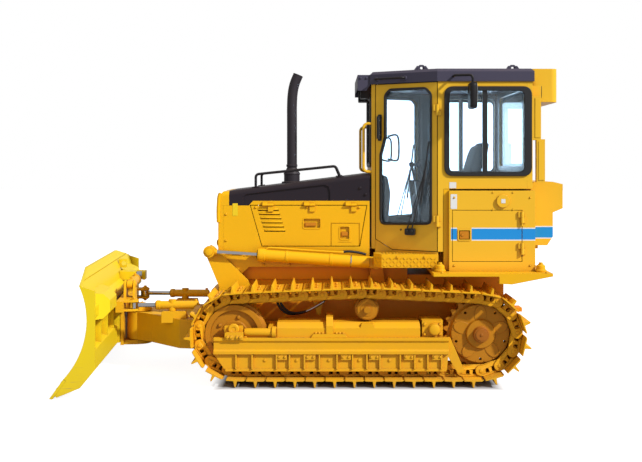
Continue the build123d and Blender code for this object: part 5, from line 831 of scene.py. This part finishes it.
# ---------------------------------------------------------------- hoses of the chassis
# Two black hydraulic hoses a side that leave the main frame together, sag over the track frame and go back
# in, with crimped steel ends and a sleeve where a bracket holds them.
rubber = plain("rubber", (0.012, 0.012, 0.013), 0.46)
steel = plain("plated_steel", (0.60, 0.60, 0.62), 0.25, 1.0)
HOSE_R, HOSES_APART = 0.0115, 0.026
route = np.array([(0.298, 0.360, 0.742), (0.300, 0.420, 0.740), (0.298, 0.476, 0.726), (0.292, 0.509, 0.680),
                  (0.260, 0.512, 0.614), (0.190, 0.514, 0.566), (0.080, 0.514, 0.570), (-0.030, 0.512, 0.620),
                  (-0.110, 0.500, 0.672), (-0.150, 0.440, 0.712), (-0.155, 0.360, 0.715)])
hangs_outside = np.array([0, 0, 0, 1, 1, 1, 1, 1, 1, 0, 0])
hoses, sleeves = [], []
for apart in (0.0, HOSES_APART):
    run = eased(route + np.array([-apart, 0, apart * 0.5]) + np.outer(hangs_outside * apart, LEFT))
    in_bracket, out_of_frame, into_frame = run[50:64], run[:4], run[-5:]
    hoses.append(bar_along(run, HOSE_R))
    sleeves += [bar_along(in_bracket, 0.0136, 14), bar_along(out_of_frame, 0.0150, 6),
                bar_along(into_frame, 0.0150, 6)]
piece("frame_hoses", both(hoses), rubber, smooth=60)
piece("frame_hose_ends", both(sleeves), steel, smooth=35)
bracket = [slab([(-0.034, 0.672), (-0.124, 0.672), (-0.104, 0.562), (-0.088, 0.548), (-0.070, 0.558)],
                on_side(0.508), 0.0, 0.012),
           slab(box_outline((-0.124, 0.350), (-0.034, 0.514)), on_top(0.660), 0.0, 0.012)]
piece("hose_bracket", both(bracket), deck_yellow)


# ---------------------------------------------------------------- cab
# A welded cell of folded sheet, yellow outside and lined in dark grey inside. Broad black rubber holds every
# pane; the side windows slide on a black middle bar. Each door has a wiper of its own, a black pull and
# hidden hinges.
LINING, CAB_YELLOW = (0.030, 0.036, 0.040), (0.88, 0.50, 0.028)
CAB_Y, INSIDE_Y, INSIDE_X, INSIDE_TOP, DOOR_SKIN = 0.7505, 0.7035, (-1.9215, -0.6155), 2.6465, 0.0385
LAMPS_PART = -1.2
DOOR_HINGE = (-1.129, 0.750)
DOOR_WAY, DOOR_OUT = (0.8703, -0.4926), (0.4926, 0.8703)


def inside_cab(tree, colour):
    """The lining's colour on every face that looks into the cab: within the side walls, front, rear, roof and
    the planes of the doors' inner skins."""
    x, y, z = parts_of(tree, place_of(tree))
    y = calc(tree, "ABSOLUTE", y)
    door = calc(tree, "ADD", calc(tree, "MULTIPLY", calc(tree, "SUBTRACT", x, DOOR_HINGE[0]), DOOR_OUT[0]),
                calc(tree, "MULTIPLY", calc(tree, "SUBTRACT", y, DOOR_HINGE[1]), DOOR_OUT[1]))
    mask = calc(tree, "LESS_THAN", y, INSIDE_Y)
    for test in (calc(tree, "LESS_THAN", x, INSIDE_X[1]), calc(tree, "GREATER_THAN", x, INSIDE_X[0]),
                 calc(tree, "LESS_THAN", door, -DOOR_SKIN), calc(tree, "LESS_THAN", z, INSIDE_TOP)):
        mask = calc(tree, "MULTIPLY", mask, test)
    return mix_colour(tree, mask, colour, LINING)


def front_lamps(tree, colour):
    """The front lamps' dark coat; the rear ones, behind the cab's middle, keep the cab's yellow."""
    ahead = calc(tree, "GREATER_THAN", parts_of(tree, place_of(tree))["X"], LAMPS_PART)
    return mix_colour(tree, ahead, colour, DARK)


cab_yellow = painted("cab_yellow", CAB_YELLOW, gloss=0.28, dust=0.15, dust_top=1.5, rub=0.15,
                     stripes=inside_cab)
roof_black = painted("roof_black", (0.066, 0.060, 0.094), gloss=0.40, dust=0.12, rub=0.12, shade_in_recesses=0.0)
lamp_coat = painted("lamp_coat", CAB_YELLOW, gloss=0.4, dust=0.15, rub=0.15, stripes=front_lamps, shade_in_recesses=0.2)
glass = plain("tinted_glass", (0.70, 0.86, 0.98), 0.0)
skin_of(glass).inputs["Transmission Weight"].default_value = 0.93
skin_of(glass).inputs["IOR"].default_value = 1.25
dress(cab_yellow, "cab_front", "cab_sides", "cab_rear", "cab_door_left", "cab_door_right", "cab_floor",
      "grab_handles", "roof_box")
dress(roof_black, "cab_roof")
dress(dark, "mirrors", "controls")
dress(lamp_coat, "lamps")
dress(glass, "cab_glass", "door_glass_left", "door_glass_right")


def on_end(x, way):
    """For outlines in Y, Z on a panel that faces forward (way 1) or to the rear (way -1): height stands out
    from x."""
    return lambda y, z, height: (x + way * height, y, z)


def on_door(run, z, height):
    """X, Y, Z of a point on the left door: run from its hinge, and height out from its outer face."""
    return (DOOR_HINGE[0] + DOOR_WAY[0] * run + DOOR_OUT[0] * height,
            DOOR_HINGE[1] + DOOR_WAY[1] * run + DOOR_OUT[1] * height, z)


# broad seals of the side windows with their middle bar, and beads round the front and the rear window
seal_ring = [soft_box((-1.957, 1.818), (-1.197, 2.598), 0.075, 7),
             soft_box((-1.898, 1.846), (-1.232, 2.568), 0.055, 7)]
points, faces = outline_mesh("side_seal", seal_ring, 0.010, 0.005)
side_seals = [(np.stack([points[:, 0], CAB_Y + 0.008 + points[:, 2], points[:, 1]], 1), faces),
              slab(box_outline((-1.573, 1.850), (-1.531, 2.565)), on_side(0.728), 0.0, 0.026)]
piece("side_window_seals", both(side_seals), rubber, smooth=40)
SEAL = [(0.017, -0.002), (0.017, 0.006), (0.010, 0.012), (-0.006, 0.014), (-0.018, 0.010), (-0.024, 0.001),
        (-0.024, -0.012), (-0.002, -0.012)]
piece("end_window_seals",
      [bead(soft_box((-half, low), (half, high), 0.055, 6), on_end(x, way), SEAL)
       for half, low, high, x, way in ((0.350, 1.905, 2.560, -0.567, 1), (0.560, 1.900, 2.590, -1.970, -1))],
      rubber, smooth=40)

# door furniture: seal round the pane, pull on two feet, wiper with its arms and motor, bolt, inner grip
door_window = [(0.060, 1.394), (0.552, 1.378), (0.552, 2.003), (0.506, 2.166), (0.506, 2.540), (0.462, 2.590),
               (0.112, 2.590), (0.060, 2.540)]
outwards = (*DOOR_OUT, 0)
arm_hubs, arm_top = ((0.228, 1.322), (0.276, 1.322)), (0.106, 1.850)
door_dark = [bead(rounded(door_window, 0.050, 6), on_door,
                  [(0.012, -0.002), (0.012, 0.005), (0.007, 0.009), (-0.005, 0.010), (-0.010, 0.006),
                   (-0.013, 0.000), (-0.013, -0.012), (-0.002, -0.012)])]
door_dark += [bar_along([on_door(0.560, z, 0.001), on_door(0.560, z, 0.038)], 0.013, 14)
              for z in (2.180, 2.320)]
door_dark.append(bar_along([on_door(0.560, 2.148, 0.034), on_door(0.560, 2.352, 0.034)], 0.0155, 16))
door_dark.append(slab(soft_box((0.540, 2.13), (0.580, 2.37), 0.012), on_door, 0.0, 0.006))
door_dark.append(slab(soft_box((0.205, 1.286), (0.300, 1.345), 0.014), on_door, 0.0, 0.034))
door_dark += [lathe(on_door(*hub, 0.030), outwards, [(0, 0.014), (0.016, 0.013), (0.020, 0.009)], 16)
              for hub in arm_hubs]
door_dark += [bar_along([on_door(*hub, 0.042),
                         on_door((hub[0] + arm_top[0]) / 2, (hub[1] + arm_top[1]) / 2, 0.038),
                         on_door(*arm_top, 0.028)], 0.0060, 8) for hub in arm_hubs]
door_dark.append(bar_along([on_door(0.150 - 0.082 * share, 1.560 + 0.560 * share, 0.018)
                            for share in np.linspace(0, 1, 5)], 0.0085, 8))
door_dark.append(lathe(on_door(*arm_top, 0.020), outwards, [(0, 0.010), (0.014, 0.010)], 10))
grip = eased([on_door(0.500, 1.965, -0.040), on_door(0.430, 1.950, -0.060), on_door(0.405, 1.985, -0.070),
              on_door(0.405, 2.140, -0.070), on_door(0.430, 2.185, -0.060), on_door(0.500, 2.170, -0.040)], 6)
door_plain = [bolt_head(on_door(0.350, 1.330, 0), outwards, 0.006), bar_along(grip, 0.009, 10)]
on_both("cab_door", ("cab_door_seal", door_dark, rubber, 40), ("cab_door_bolts", door_plain, dark, 40))

# yellow sill under each door's slanting corner, and dark rubber behind the shut lines all round
sill = slab([(0.000, 1.060), (0.612, 1.060), (0.612, 1.232), (0.604, 1.232), (0.438, 1.1445),
             (0.000, 1.1445)], on_door, -0.040, -0.004)
piece("door_sill", both([sill]), cab_yellow)
strips = [slab(box_outline((-0.006, 1.190), (0.034, 2.640)), on_door, -0.054, -0.040, 0.001),
          slab(box_outline((0.010, 2.618), (0.600, 2.664)), on_door, -0.054, -0.040, 0.001),
          slab(box_outline((0.601, 1.150), (0.609, 2.640)), on_door, -0.036, -0.012, 0.001),
          slab([(0.010, 1.1475), (0.420, 1.1475), (0.600, 1.240), (0.600, 1.248), (0.418, 1.1515),
                (0.010, 1.1515)], on_door, -0.036, -0.010, 0.001)]
piece("door_frame_strip", both(strips), rubber)

# mirror heads: a domed shell round the plate, with a bright glass towards the rear
mirror_glass = plain("mirror_glass", (0.85, 0.87, 0.88), 0.04, 1.0)
piece("mirror_shells", both([slab(soft_box((0.806, 2.396), (0.994, 2.624), 0.035, 6),
                                  on_end(-1.420, 1), -0.024, 0.032, 0.012)]), dark, smooth=50)
piece("mirror_panes", both([slab(soft_box((0.816, 2.406), (0.984, 2.614), 0.030, 6),
                                 on_end(-1.4445, -1), 0.0, 0.003, 0.001)]), mirror_glass)

# lamp lenses and rims
lens = plain("lamp_lens", (0.82, 0.84, 0.85), 0.12, 0.4)
lenses, rims = [], []
for x, y, z, way in ((-0.477, 0.250, 2.585, 1), (-2.060, 0.609, 2.560, -1)):
    lenses.append(slab(soft_box((y - 0.066, z - 0.042), (y + 0.066, z + 0.042), 0.012), on_end(x, way), 0.0,
                       0.004, 0.001))
    rims.append(bead(soft_box((y - 0.070, z - 0.046), (y + 0.070, z + 0.046), 0.014), on_end(x, way),
                     [(0.008, 0.0), (0.008, 0.006), (0.0, 0.008), (-0.004, 0.002), (-0.004, 0.0)]))
piece("lamp_lenses", both(lenses), lens)
piece("lamp_rims", both(rims), dark, smooth=40)

# roof: bolts and gussets of the lifting eyes, bolts of the visor, and the grip's feet
EYES, EYE_Y = (-1.010, -1.830), 0.5685
roof_trim = side_bolts(EYE_Y, 0.008, [(eye + off, 2.768) for eye in EYES for off in (-0.030, 0.030)])
roof_trim += [slab([(eye + off, z) for off, z in ((-0.078, 2.752), (0.078, 2.752), (0.040, 2.803),
                                                  (0.026, 2.801), (0.017, 2.766), (-0.017, 2.766),
                                                  (-0.026, 2.801), (-0.040, 2.803))],
                   on_side(EYE_Y), 0.0, 0.008) for eye in EYES]
roof_trim += side_bolts(0.430, 0.008, [(-0.465, 2.705), (-0.520, 2.705)])
roof_trim += [lathe((-0.553 - 0.8742 * run, 0.444 + 0.4856 * run, 2.689), (0.4856, 0.8742, 0),
                    [(0, 0.022), (0.006, 0.020), (0.008, 0.014)], 18) for run in (0.066, 0.348)]
piece("roof_trim", both(roof_trim), roof_black, smooth=40)
# roof box with its vent slots and their frame, and the covers of the channels down the cab's rear corners
box_rear = on_end(-2.2505, -1)
box_trim = [slab(box_outline((-0.36, 2.560 + 0.022 * row), (0.36, 2.572 + 0.022 * row)), box_rear, -0.001,
                 0.004, 0.001) for row in range(7)]
box_trim.append(bead(soft_box((-0.40, 2.535), (0.40, 2.735), 0.02), box_rear,
                     [(0.006, 0), (0.004, 0.004), (-0.004, 0.004), (-0.006, 0)]))
piece("roof_box_vents", box_trim, cab_yellow, smooth=40)
channel = [slab(box_outline(low, high), on_side(CAB_Y - 0.002), 0.0, 0.004)
           for low, high in (((-2.040, 2.150), (-1.990, 2.500)), ((-2.072, 1.775), (-2.020, 2.118)))]
piece("rear_channel_covers", both(channel), cab_yellow, smooth=40)

# seat: two stuffed cushions in dark cloth on the pedestal, with the back leaning to the rear
cloth = plain("seat_cloth", (0.026, 0.028, 0.032), 0.85)
weave = bump(cloth.node_tree, noise(cloth.node_tree, 700.0, 1.0), 0.25, 0.0008)
cloth.node_tree.links.new(weave.outputs[0], skin_of(cloth).inputs["Normal"])


def cushion(centre, half, lean=0.0, power=0.32):
    """A stuffed block: a ball pushed out to a box by the power of its sines; lean shears it to the rear."""
    ups, rounds = np.meshgrid(np.linspace(-pi / 2, pi / 2, 17), 2 * pi * np.arange(40) / 40, indexing="ij")
    swell = lambda value: np.sign(value) * np.abs(value) ** power
    rise, flat = swell(np.sin(ups)) * half[2], np.abs(np.cos(ups)) ** power
    points = np.stack([centre[0] + half[0] * flat * swell(np.cos(rounds)) - lean * rise,
                       centre[1] + half[1] * flat * swell(np.sin(rounds)), centre[2] + rise], 2)
    return points.reshape(-1, 3), ring_faces(*ups.shape)


seat_base = piece("seat_cushion", [cushion((-1.235, 0, 1.566), (0.245, 0.252, 0.068))], cloth, smooth=80)
seat_back = piece("seat_back", [cushion((-1.545, 0, 1.835), (0.062, 0.240, 0.262), lean=0.30),
                                cushion((-1.640, 0, 2.050), (0.050, 0.150, 0.070), lean=0.2)], cloth,
                  smooth=80)
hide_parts("seat")
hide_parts("seat")


# ---------------------------------------------------------------- side boxes and tank
# Folded boxes under the side windows, each with a door that fills most of its face, and the fuel tank across
# the rear. A blue band between two thin white ones runs over boxes and tank; the plates beside it are bare.
BAND_BLUE, BAND_WHITE = (0.018, 0.285, 0.72), (0.80, 0.82, 0.84)
BAND_Z, BLUE_HALF, WHITE_HALF, BAND_FRONT = 1.305, 0.0475, 0.0565, -1.247
LATCH_X, LATCH_HALF, LATCH_REACH = -1.364, 0.064, 0.30


def blue_band(tree, colour):
    """Blue between two white lines, level round the boxes' outer faces and the tank's ends; the latch breaks
    it."""
    x, y, z = parts_of(tree, place_of(tree))
    way_y, way_z = parts_of(tree, normal_of(tree))[1:]
    from_middle = calc(tree, "ABSOLUTE", calc(tree, "SUBTRACT", z, BAND_Z))
    beside_latch = calc(tree, "GREATER_THAN", calc(tree, "ABSOLUTE", calc(tree, "SUBTRACT", x, LATCH_X)),
                        LATCH_HALF)
    here = calc(tree, "MAXIMUM", beside_latch, calc(tree, "GREATER_THAN", from_middle, LATCH_REACH))
    for test in (calc(tree, "LESS_THAN", calc(tree, "ABSOLUTE", way_z), 0.5),
                 calc(tree, "GREATER_THAN", calc(tree, "ABSOLUTE", way_y), 0.4),
                 calc(tree, "LESS_THAN", x, BAND_FRONT)):
        here = calc(tree, "MULTIPLY", here, test)
    white = calc(tree, "MULTIPLY", here, calc(tree, "LESS_THAN", from_middle, WHITE_HALF))
    blue = calc(tree, "MULTIPLY", here, calc(tree, "LESS_THAN", from_middle, BLUE_HALF))
    return mix_colour(tree, blue, mix_colour(tree, white, colour, BAND_WHITE), BAND_BLUE)


box_yellow = painted("box_yellow", (0.88, 0.49, 0.026), gloss=0.26, dust=0.2, dust_top=1.3, rub=0.2,
                     stripes=blue_band)
dress(box_yellow, "side_box_left", "side_box_right", "box_door_left", "box_door_right", "fuel_tank")
plate_white = painted("plate_white", (0.78, 0.78, 0.76), gloss=0.3, dust=0.15, rub=0.05)
plate_yellow = painted("plate_yellow", (0.87, 0.62, 0.02), gloss=0.3, dust=0.15, rub=0.05)

BOX_Y = 0.785
CAP_X, CAP_Z, CAP_OUT = -1.701, 1.595, 0.022
filler = [lathe((CAP_X, BOX_Y - 0.004, CAP_Z), LEFT,
                [(0, 0.060), (0.008, 0.060), (0.010, 0.056), (0.010, 0.045), (0.014, 0.043),
                 (0.017, 0.030), (0.018, 0.004)], 36)]
filler += side_bolts(BOX_Y + 0.005, 0.005, ring_places((CAP_X, BOX_Y, CAP_Z), 0.052, 4, pi / 4))
filler += side_bolts(BOX_Y, 0.006, [(CAP_X + x, CAP_Z + z) for x in (-0.088, 0.088) for z in (-0.075, 0.075)])
filler += side_bolts(BOX_Y, 0.007, [(x, z) for z in (1.625, 1.030) for x in (-1.275, -1.940)])
piece("box_filler", both(filler), box_yellow, smooth=35)
latch_rim = bead(soft_box((-1.418, 1.252), (-1.310, 1.344), 0.012), on_side(BOX_Y + 0.001),
                 [(0.006, 0), (0.006, 0.004), (-0.006, 0.004), (-0.006, -0.004)])
latch = [slab(soft_box((-1.406, 1.262), (-1.322, 1.334), 0.008), on_side(BOX_Y - 0.010), 0.0, 0.009),
         lathe((-1.346, BOX_Y - 0.002, 1.298), LEFT, [(0, 0.013), (0.005, 0.012), (0.006, 0.004)], 18)]
hinges = [bar_along([(-1.868, 0.801, z), (-1.868, 0.801, z + 0.075)], 0.0085, 14) for z in (1.130, 1.375)]
on_both("box_door", ("box_latch_frame", [latch_rim], box_yellow, 35), ("box_latch", latch, latch_orange, 35),
        ("box_hinges", hinges, box_yellow, 35))


def bare_plate(outline, y):
    """A thin plate or sticker with nothing on it."""
    return slab(outline, on_side(y), 0.0, 0.0012, 0.0004)


piece("bare_plates", both([bare_plate(box_outline((-1.720, 1.576), (-1.682, 1.614)), BOX_Y + CAP_OUT),
                           bare_plate(soft_box((-1.300, 1.525), (-1.243, 1.655), 0.004, 3), BOX_Y),
                           bare_plate(soft_box((-1.298, 1.705), (-1.236, 1.760), 0.004, 3), CAB_Y)]),
      plate_white)
piece("bare_yellow_plates", both([bare_plate(soft_box((0.655, 1.445), (0.705, 1.560), 0.004, 3), HOOD_Y)]),
      plate_yellow)


# ---------------------------------------------------------------- blade frame and fork
# Two welded box arms from the frame's rear pins to the nose, and the fork that turns on the nose pin and
# carries the blade. Painted shade darkens the joints; pin keepers and cylinder ears are bolted.
frame_yellow = painted("frame_yellow", (0.90, 0.48, 0.006), gloss=0.42, dust=0.35, dust_top=1.0, rub=0.5)
dress(frame_yellow, "c_frame", "yoke")
TURN = radians(4.0)
NOSE, PIN_Z = 1.640, 0.625


def turned_out(shapes):
    """Shapes turned about the nose pin to the blade's angle at rest."""
    turned = []
    for points, faces in shapes:
        points = np.asarray(points, float)
        x, y = points[:, 0] - NOSE, points[:, 1]
        turned.append((np.stack([NOSE + x * cos(TURN) - y * sin(TURN), x * sin(TURN) + y * cos(TURN),
                                 points[:, 2]], 1), faces))
    return turned


LIFT_FRONT = (0.907, 0.500, 1.125)
arm_trim = [lathe((-0.338, 0.482, 0.330), LEFT, [(0, 0.060), (0.006, 0.060), (0.008, 0.054)], 30),
            bolt_head((LIFT_FRONT[0] + 0.040, 0.540, LIFT_FRONT[2]), LEFT, 0.006),
            lathe((LIFT_FRONT[0], 0.5375, LIFT_FRONT[2]), LEFT,
                  [(0, 0.0335), (0.0095, 0.0335), (0.011, 0.030)], 28)]
piece("arm_trim", both(arm_trim), frame_yellow, "lift_frame", smooth=35)
fork_trim = []
for side in (-1, 1):
    fork_trim += [bolt_head((NOSE, side * 0.400, z), (0, 0, way), 0.014)
                  for z, way in ((0.566, -1), (0.684, 1))]
    fork_trim += [bolt_head((1.7245, side * y, PIN_Z), (-1, 0, 0), 0.009) for y in (0.10, 0.19)]
fork_trim.append(lathe((NOSE, 0, 0.572), UP, [(0, 0.062), (0.010, 0.062), (0.014, 0.054)], 30))
fork_trim += [bolt_head((x, y, 0.585), UP, 0.008) for x, y in ring_places((NOSE, 0, 0), 0.038, 3)]
piece("fork_trim", turned_out(fork_trim), frame_yellow, "yoke", smooth=35)


# ---------------------------------------------------------------- cylinders
# Lift, angle and tilt cylinders: yellow barrels, plated rods and a black wiper ring at each gland. Each lift
# barrel has a steel pipe along its top and a short hose that rides with it and ends near its trunnion, under
# a steel clamp ring.
ROD_SHINE, LIFT_REAR = (0.66, 0.66, 0.68), (-0.605, 0.500, 1.023)
cylinder_yellow = painted("cylinder_yellow", YELLOW, gloss=0.30, dust=0.3, dust_top=1.1, rub=0.35)
chrome = plain("rod_chrome", ROD_SHINE, 0.10, 1.0)
dress(cylinder_yellow, "lift_barrel_left", "lift_barrel_right", "angle_barrel_left", "angle_barrel_right",
      "tilt_barrel")
dress(chrome, "angle_rod_left", "angle_rod_right", "tilt_rod")

# a lift rod's forged eye, ahead of EYE_FROM, is painted; the shaft is plated
EYE_FROM = 0.835
rod = painted("lift_rod", YELLOW, gloss=0.30, dust=0.2, dust_top=1.1, rub=0.3)
rod_tree, rod_skin = rod.node_tree, skin_of(rod).inputs
eye_here = calc(rod_tree, "GREATER_THAN", parts_of(rod_tree, place_of(rod_tree))["X"], EYE_FROM)
eye_colour = rod_skin["Base Color"].links[0].from_socket
rod_tree.links.new(mix_colour(rod_tree, eye_here, ROD_SHINE, eye_colour), rod_skin["Base Color"])
rod_tree.links.new(calc(rod_tree, "SUBTRACT", 1.0, eye_here), rod_skin["Metallic"])
rod_tree.links.new(calc(rod_tree, "MULTIPLY_ADD", eye_here, 0.22, 0.10), rod_skin["Roughness"])
dress(rod, "lift_rod_left", "lift_rod_right")


def unit_way(start, end):
    """The way from start to end, one long."""
    way = np.subtract(end, start)
    return way / np.linalg.norm(way)


def on_lift(distance, lift=0.0, out=0.0):
    """The point a distance along the left lift cylinder from its rear pin, moved up and then outwards."""
    return LIFT_REAR + unit_way(LIFT_REAR, LIFT_FRONT) * distance + np.array([0, out, lift])


def lift_ring(distance, profile, sides=36):
    """A ring turned round the left lift cylinder, from a distance along it."""
    return lathe(on_lift(distance), unit_way(LIFT_REAR, LIFT_FRONT), profile, sides)


gland = [lift_ring(1.060, [(0, 0.0590), (0.004, 0.0605), (0.010, 0.0605), (0.014, 0.0590)]),
         lift_ring(1.006, [(0, 0.0555), (0.003, 0.060), (0.012, 0.060), (0.015, 0.0555)]),
         lift_ring(0.392, [(0, 0.0545), (0.002, 0.058), (0.030, 0.058), (0.032, 0.0545)]),
         lift_ring(0.800, [(0, 0.0545), (0.002, 0.058), (0.022, 0.058), (0.024, 0.0545)]),
         bar_along(eased([on_lift(*stop) for stop in ((0.300, 0.078, -0.02), (0.330, 0.074, -0.005),
                                                      (0.60, 0.072), (0.930, 0.072), (0.985, 0.066),
                                                      (1.000, 0.048))], 5), 0.0095, 10)]
wiper = [lift_ring(1.0755, [(0, 0.044), (0.004, 0.043), (0.008, 0.034), (0.009, 0.0232)], 30),
         bar_along(eased([on_lift(*stop) for stop in ((0.300, 0.078, -0.020), (0.240, 0.085, -0.026),
                                                      (0.150, 0.078, -0.036), (0.09, 0.066, -0.040))], 6),
                   0.0115)]
clamp = [lift_ring(0.222, [(0, 0.0545), (0.001, 0.0575), (0.011, 0.0575), (0.012, 0.0545)])]
on_both("lift_barrel", ("lift_gland", gland, cylinder_yellow, 40), ("lift_wiper", wiper, rubber, 40),
        ("lift_clamp", clamp, steel, 40))

for side_name, side in (("left", 1), ("right", -1)):
    pivot = np.array([1.262, side * 0.385, PIN_Z])
    way = unit_way(pivot, (NOSE - side * 0.400 * sin(TURN), side * 0.400 * cos(TURN), PIN_Z))
    body = f"angle_barrel_{side_name}"
    piece(f"angle_gland_{side_name}",
          [lathe(pivot + way * 0.108, way, [(0, 0.0375), (0.003, 0.043), (0.034, 0.043), (0.038, 0.039)], 30),
           lathe(pivot - way * 0.233, -way,
                 [(0, 0.036), (0.006, 0.032), (0.010, 0.020), (0.0105, 0.002)], 30),
           lathe(pivot - way * 0.215 + (0, 0, 0.030), UP, [(0, 0.014), (0.022, 0.014)], 6)],
          cylinder_yellow, body, smooth=40)
    piece(f"angle_wiper_{side_name}",
          [lathe(pivot + way * 0.1495, way, [(0, 0.031), (0.004, 0.030), (0.008, 0.0208)], 24)],
          rubber, body, smooth=40)

TILT_REAR = np.array([1.700, 0.215, 0.790])
tilt_way = unit_way(TILT_REAR, (1.700, -0.430, 0.800))
tilt_gland = [lathe(TILT_REAR + tilt_way * 0.352, tilt_way,
                    [(0, 0.0405), (0.003, 0.0465), (0.040, 0.0465), (0.044, 0.042)], 30),
              lathe(TILT_REAR + tilt_way * 0.070, tilt_way,
                    [(0, 0.0405), (0.003, 0.0445), (0.020, 0.0445), (0.023, 0.0405)], 30)]
tilt_gland += [lathe(TILT_REAR + tilt_way * run + (0, 0, 0.036), UP,
                     [(0, 0.013), (0.024, 0.013), (0.026, 0.010)], 6) for run in (0.090, 0.330)]
piece("tilt_gland", turned_out(tilt_gland), cylinder_yellow, "tilt_barrel", smooth=40)


# ---------------------------------------------------------------- blade
# A curved plate on box beams, painted a cooler yellow than the machine. Earth has polished the cutting edge,
# and the paint is scuffed near the foot. Square-necked bolts hold the edge; their nuts are on its back.
SCUFFED, BARE = 0.5, (0.30, 0.22, 0.12)


def scuffs(tree, colour):
    """Bare ground steel in long sideways scratches that thicken towards the foot of the blade:
    mask = clamp((5 x noise - 3) x max(1 - z / SCUFFED, 0))."""
    height = parts_of(tree, place_of(tree))["Z"]
    low = calc(tree, "MAXIMUM", calc(tree, "SUBTRACT", 1.0, calc(tree, "DIVIDE", height, SCUFFED)), 0.0)
    grain = calc(tree, "MULTIPLY_ADD", noise(tree, 1.0, 5.0, 0.65, stretch=(5.0, 9.0, 60.0)), 5.0, -3.0)
    return mix_colour(tree, clamped(tree, calc(tree, "MULTIPLY", grain, low)), colour, BARE)


blade_yellow = painted("blade_yellow", (0.83, 0.61, 0.012), gloss=0.38, dust=0.25, dust_top=0.5, rub=0.35,
                       stripes=scuffs)
dress(blade_yellow, "moldboard", "cutting_edge")
FOOT, TIP = (0.440, 0.165), (0.555, 0.005)
edge_way = unit_way(FOOT, TIP)
edge_back = np.array([edge_way[1], -edge_way[0]])


def edge_bolt(run, y, behind, way, profile, sides):
    """A nut (way 1) or a bolt's head (way -1), down the foot of the blade by run and behind its face."""
    x, z = np.array([NOSE, 0]) + FOOT + edge_way * run + edge_back * behind
    return lathe((x, y, z), (way * edge_back[0], 0, way * edge_back[1]), profile, sides)


NUTS, NUTS_REACH, EDGE_BACK = 19, 1.260, 0.044
nuts = []
for run in (0.045, 0.110):
    for y in np.linspace(-NUTS_REACH, NUTS_REACH, NUTS):
        nuts.append(edge_bolt(run, y, EDGE_BACK, 1, [(0, 0.015), (0.012, 0.015), (0.014, 0.012)], 6))
        nuts.append(edge_bolt(run, y, 0.001, -1, [(0, 0.016), (0.004, 0.014), (0.005, 0.004)], 16))
piece("edge_bolts", turned_out(nuts), blade_yellow, "blade", smooth=35)
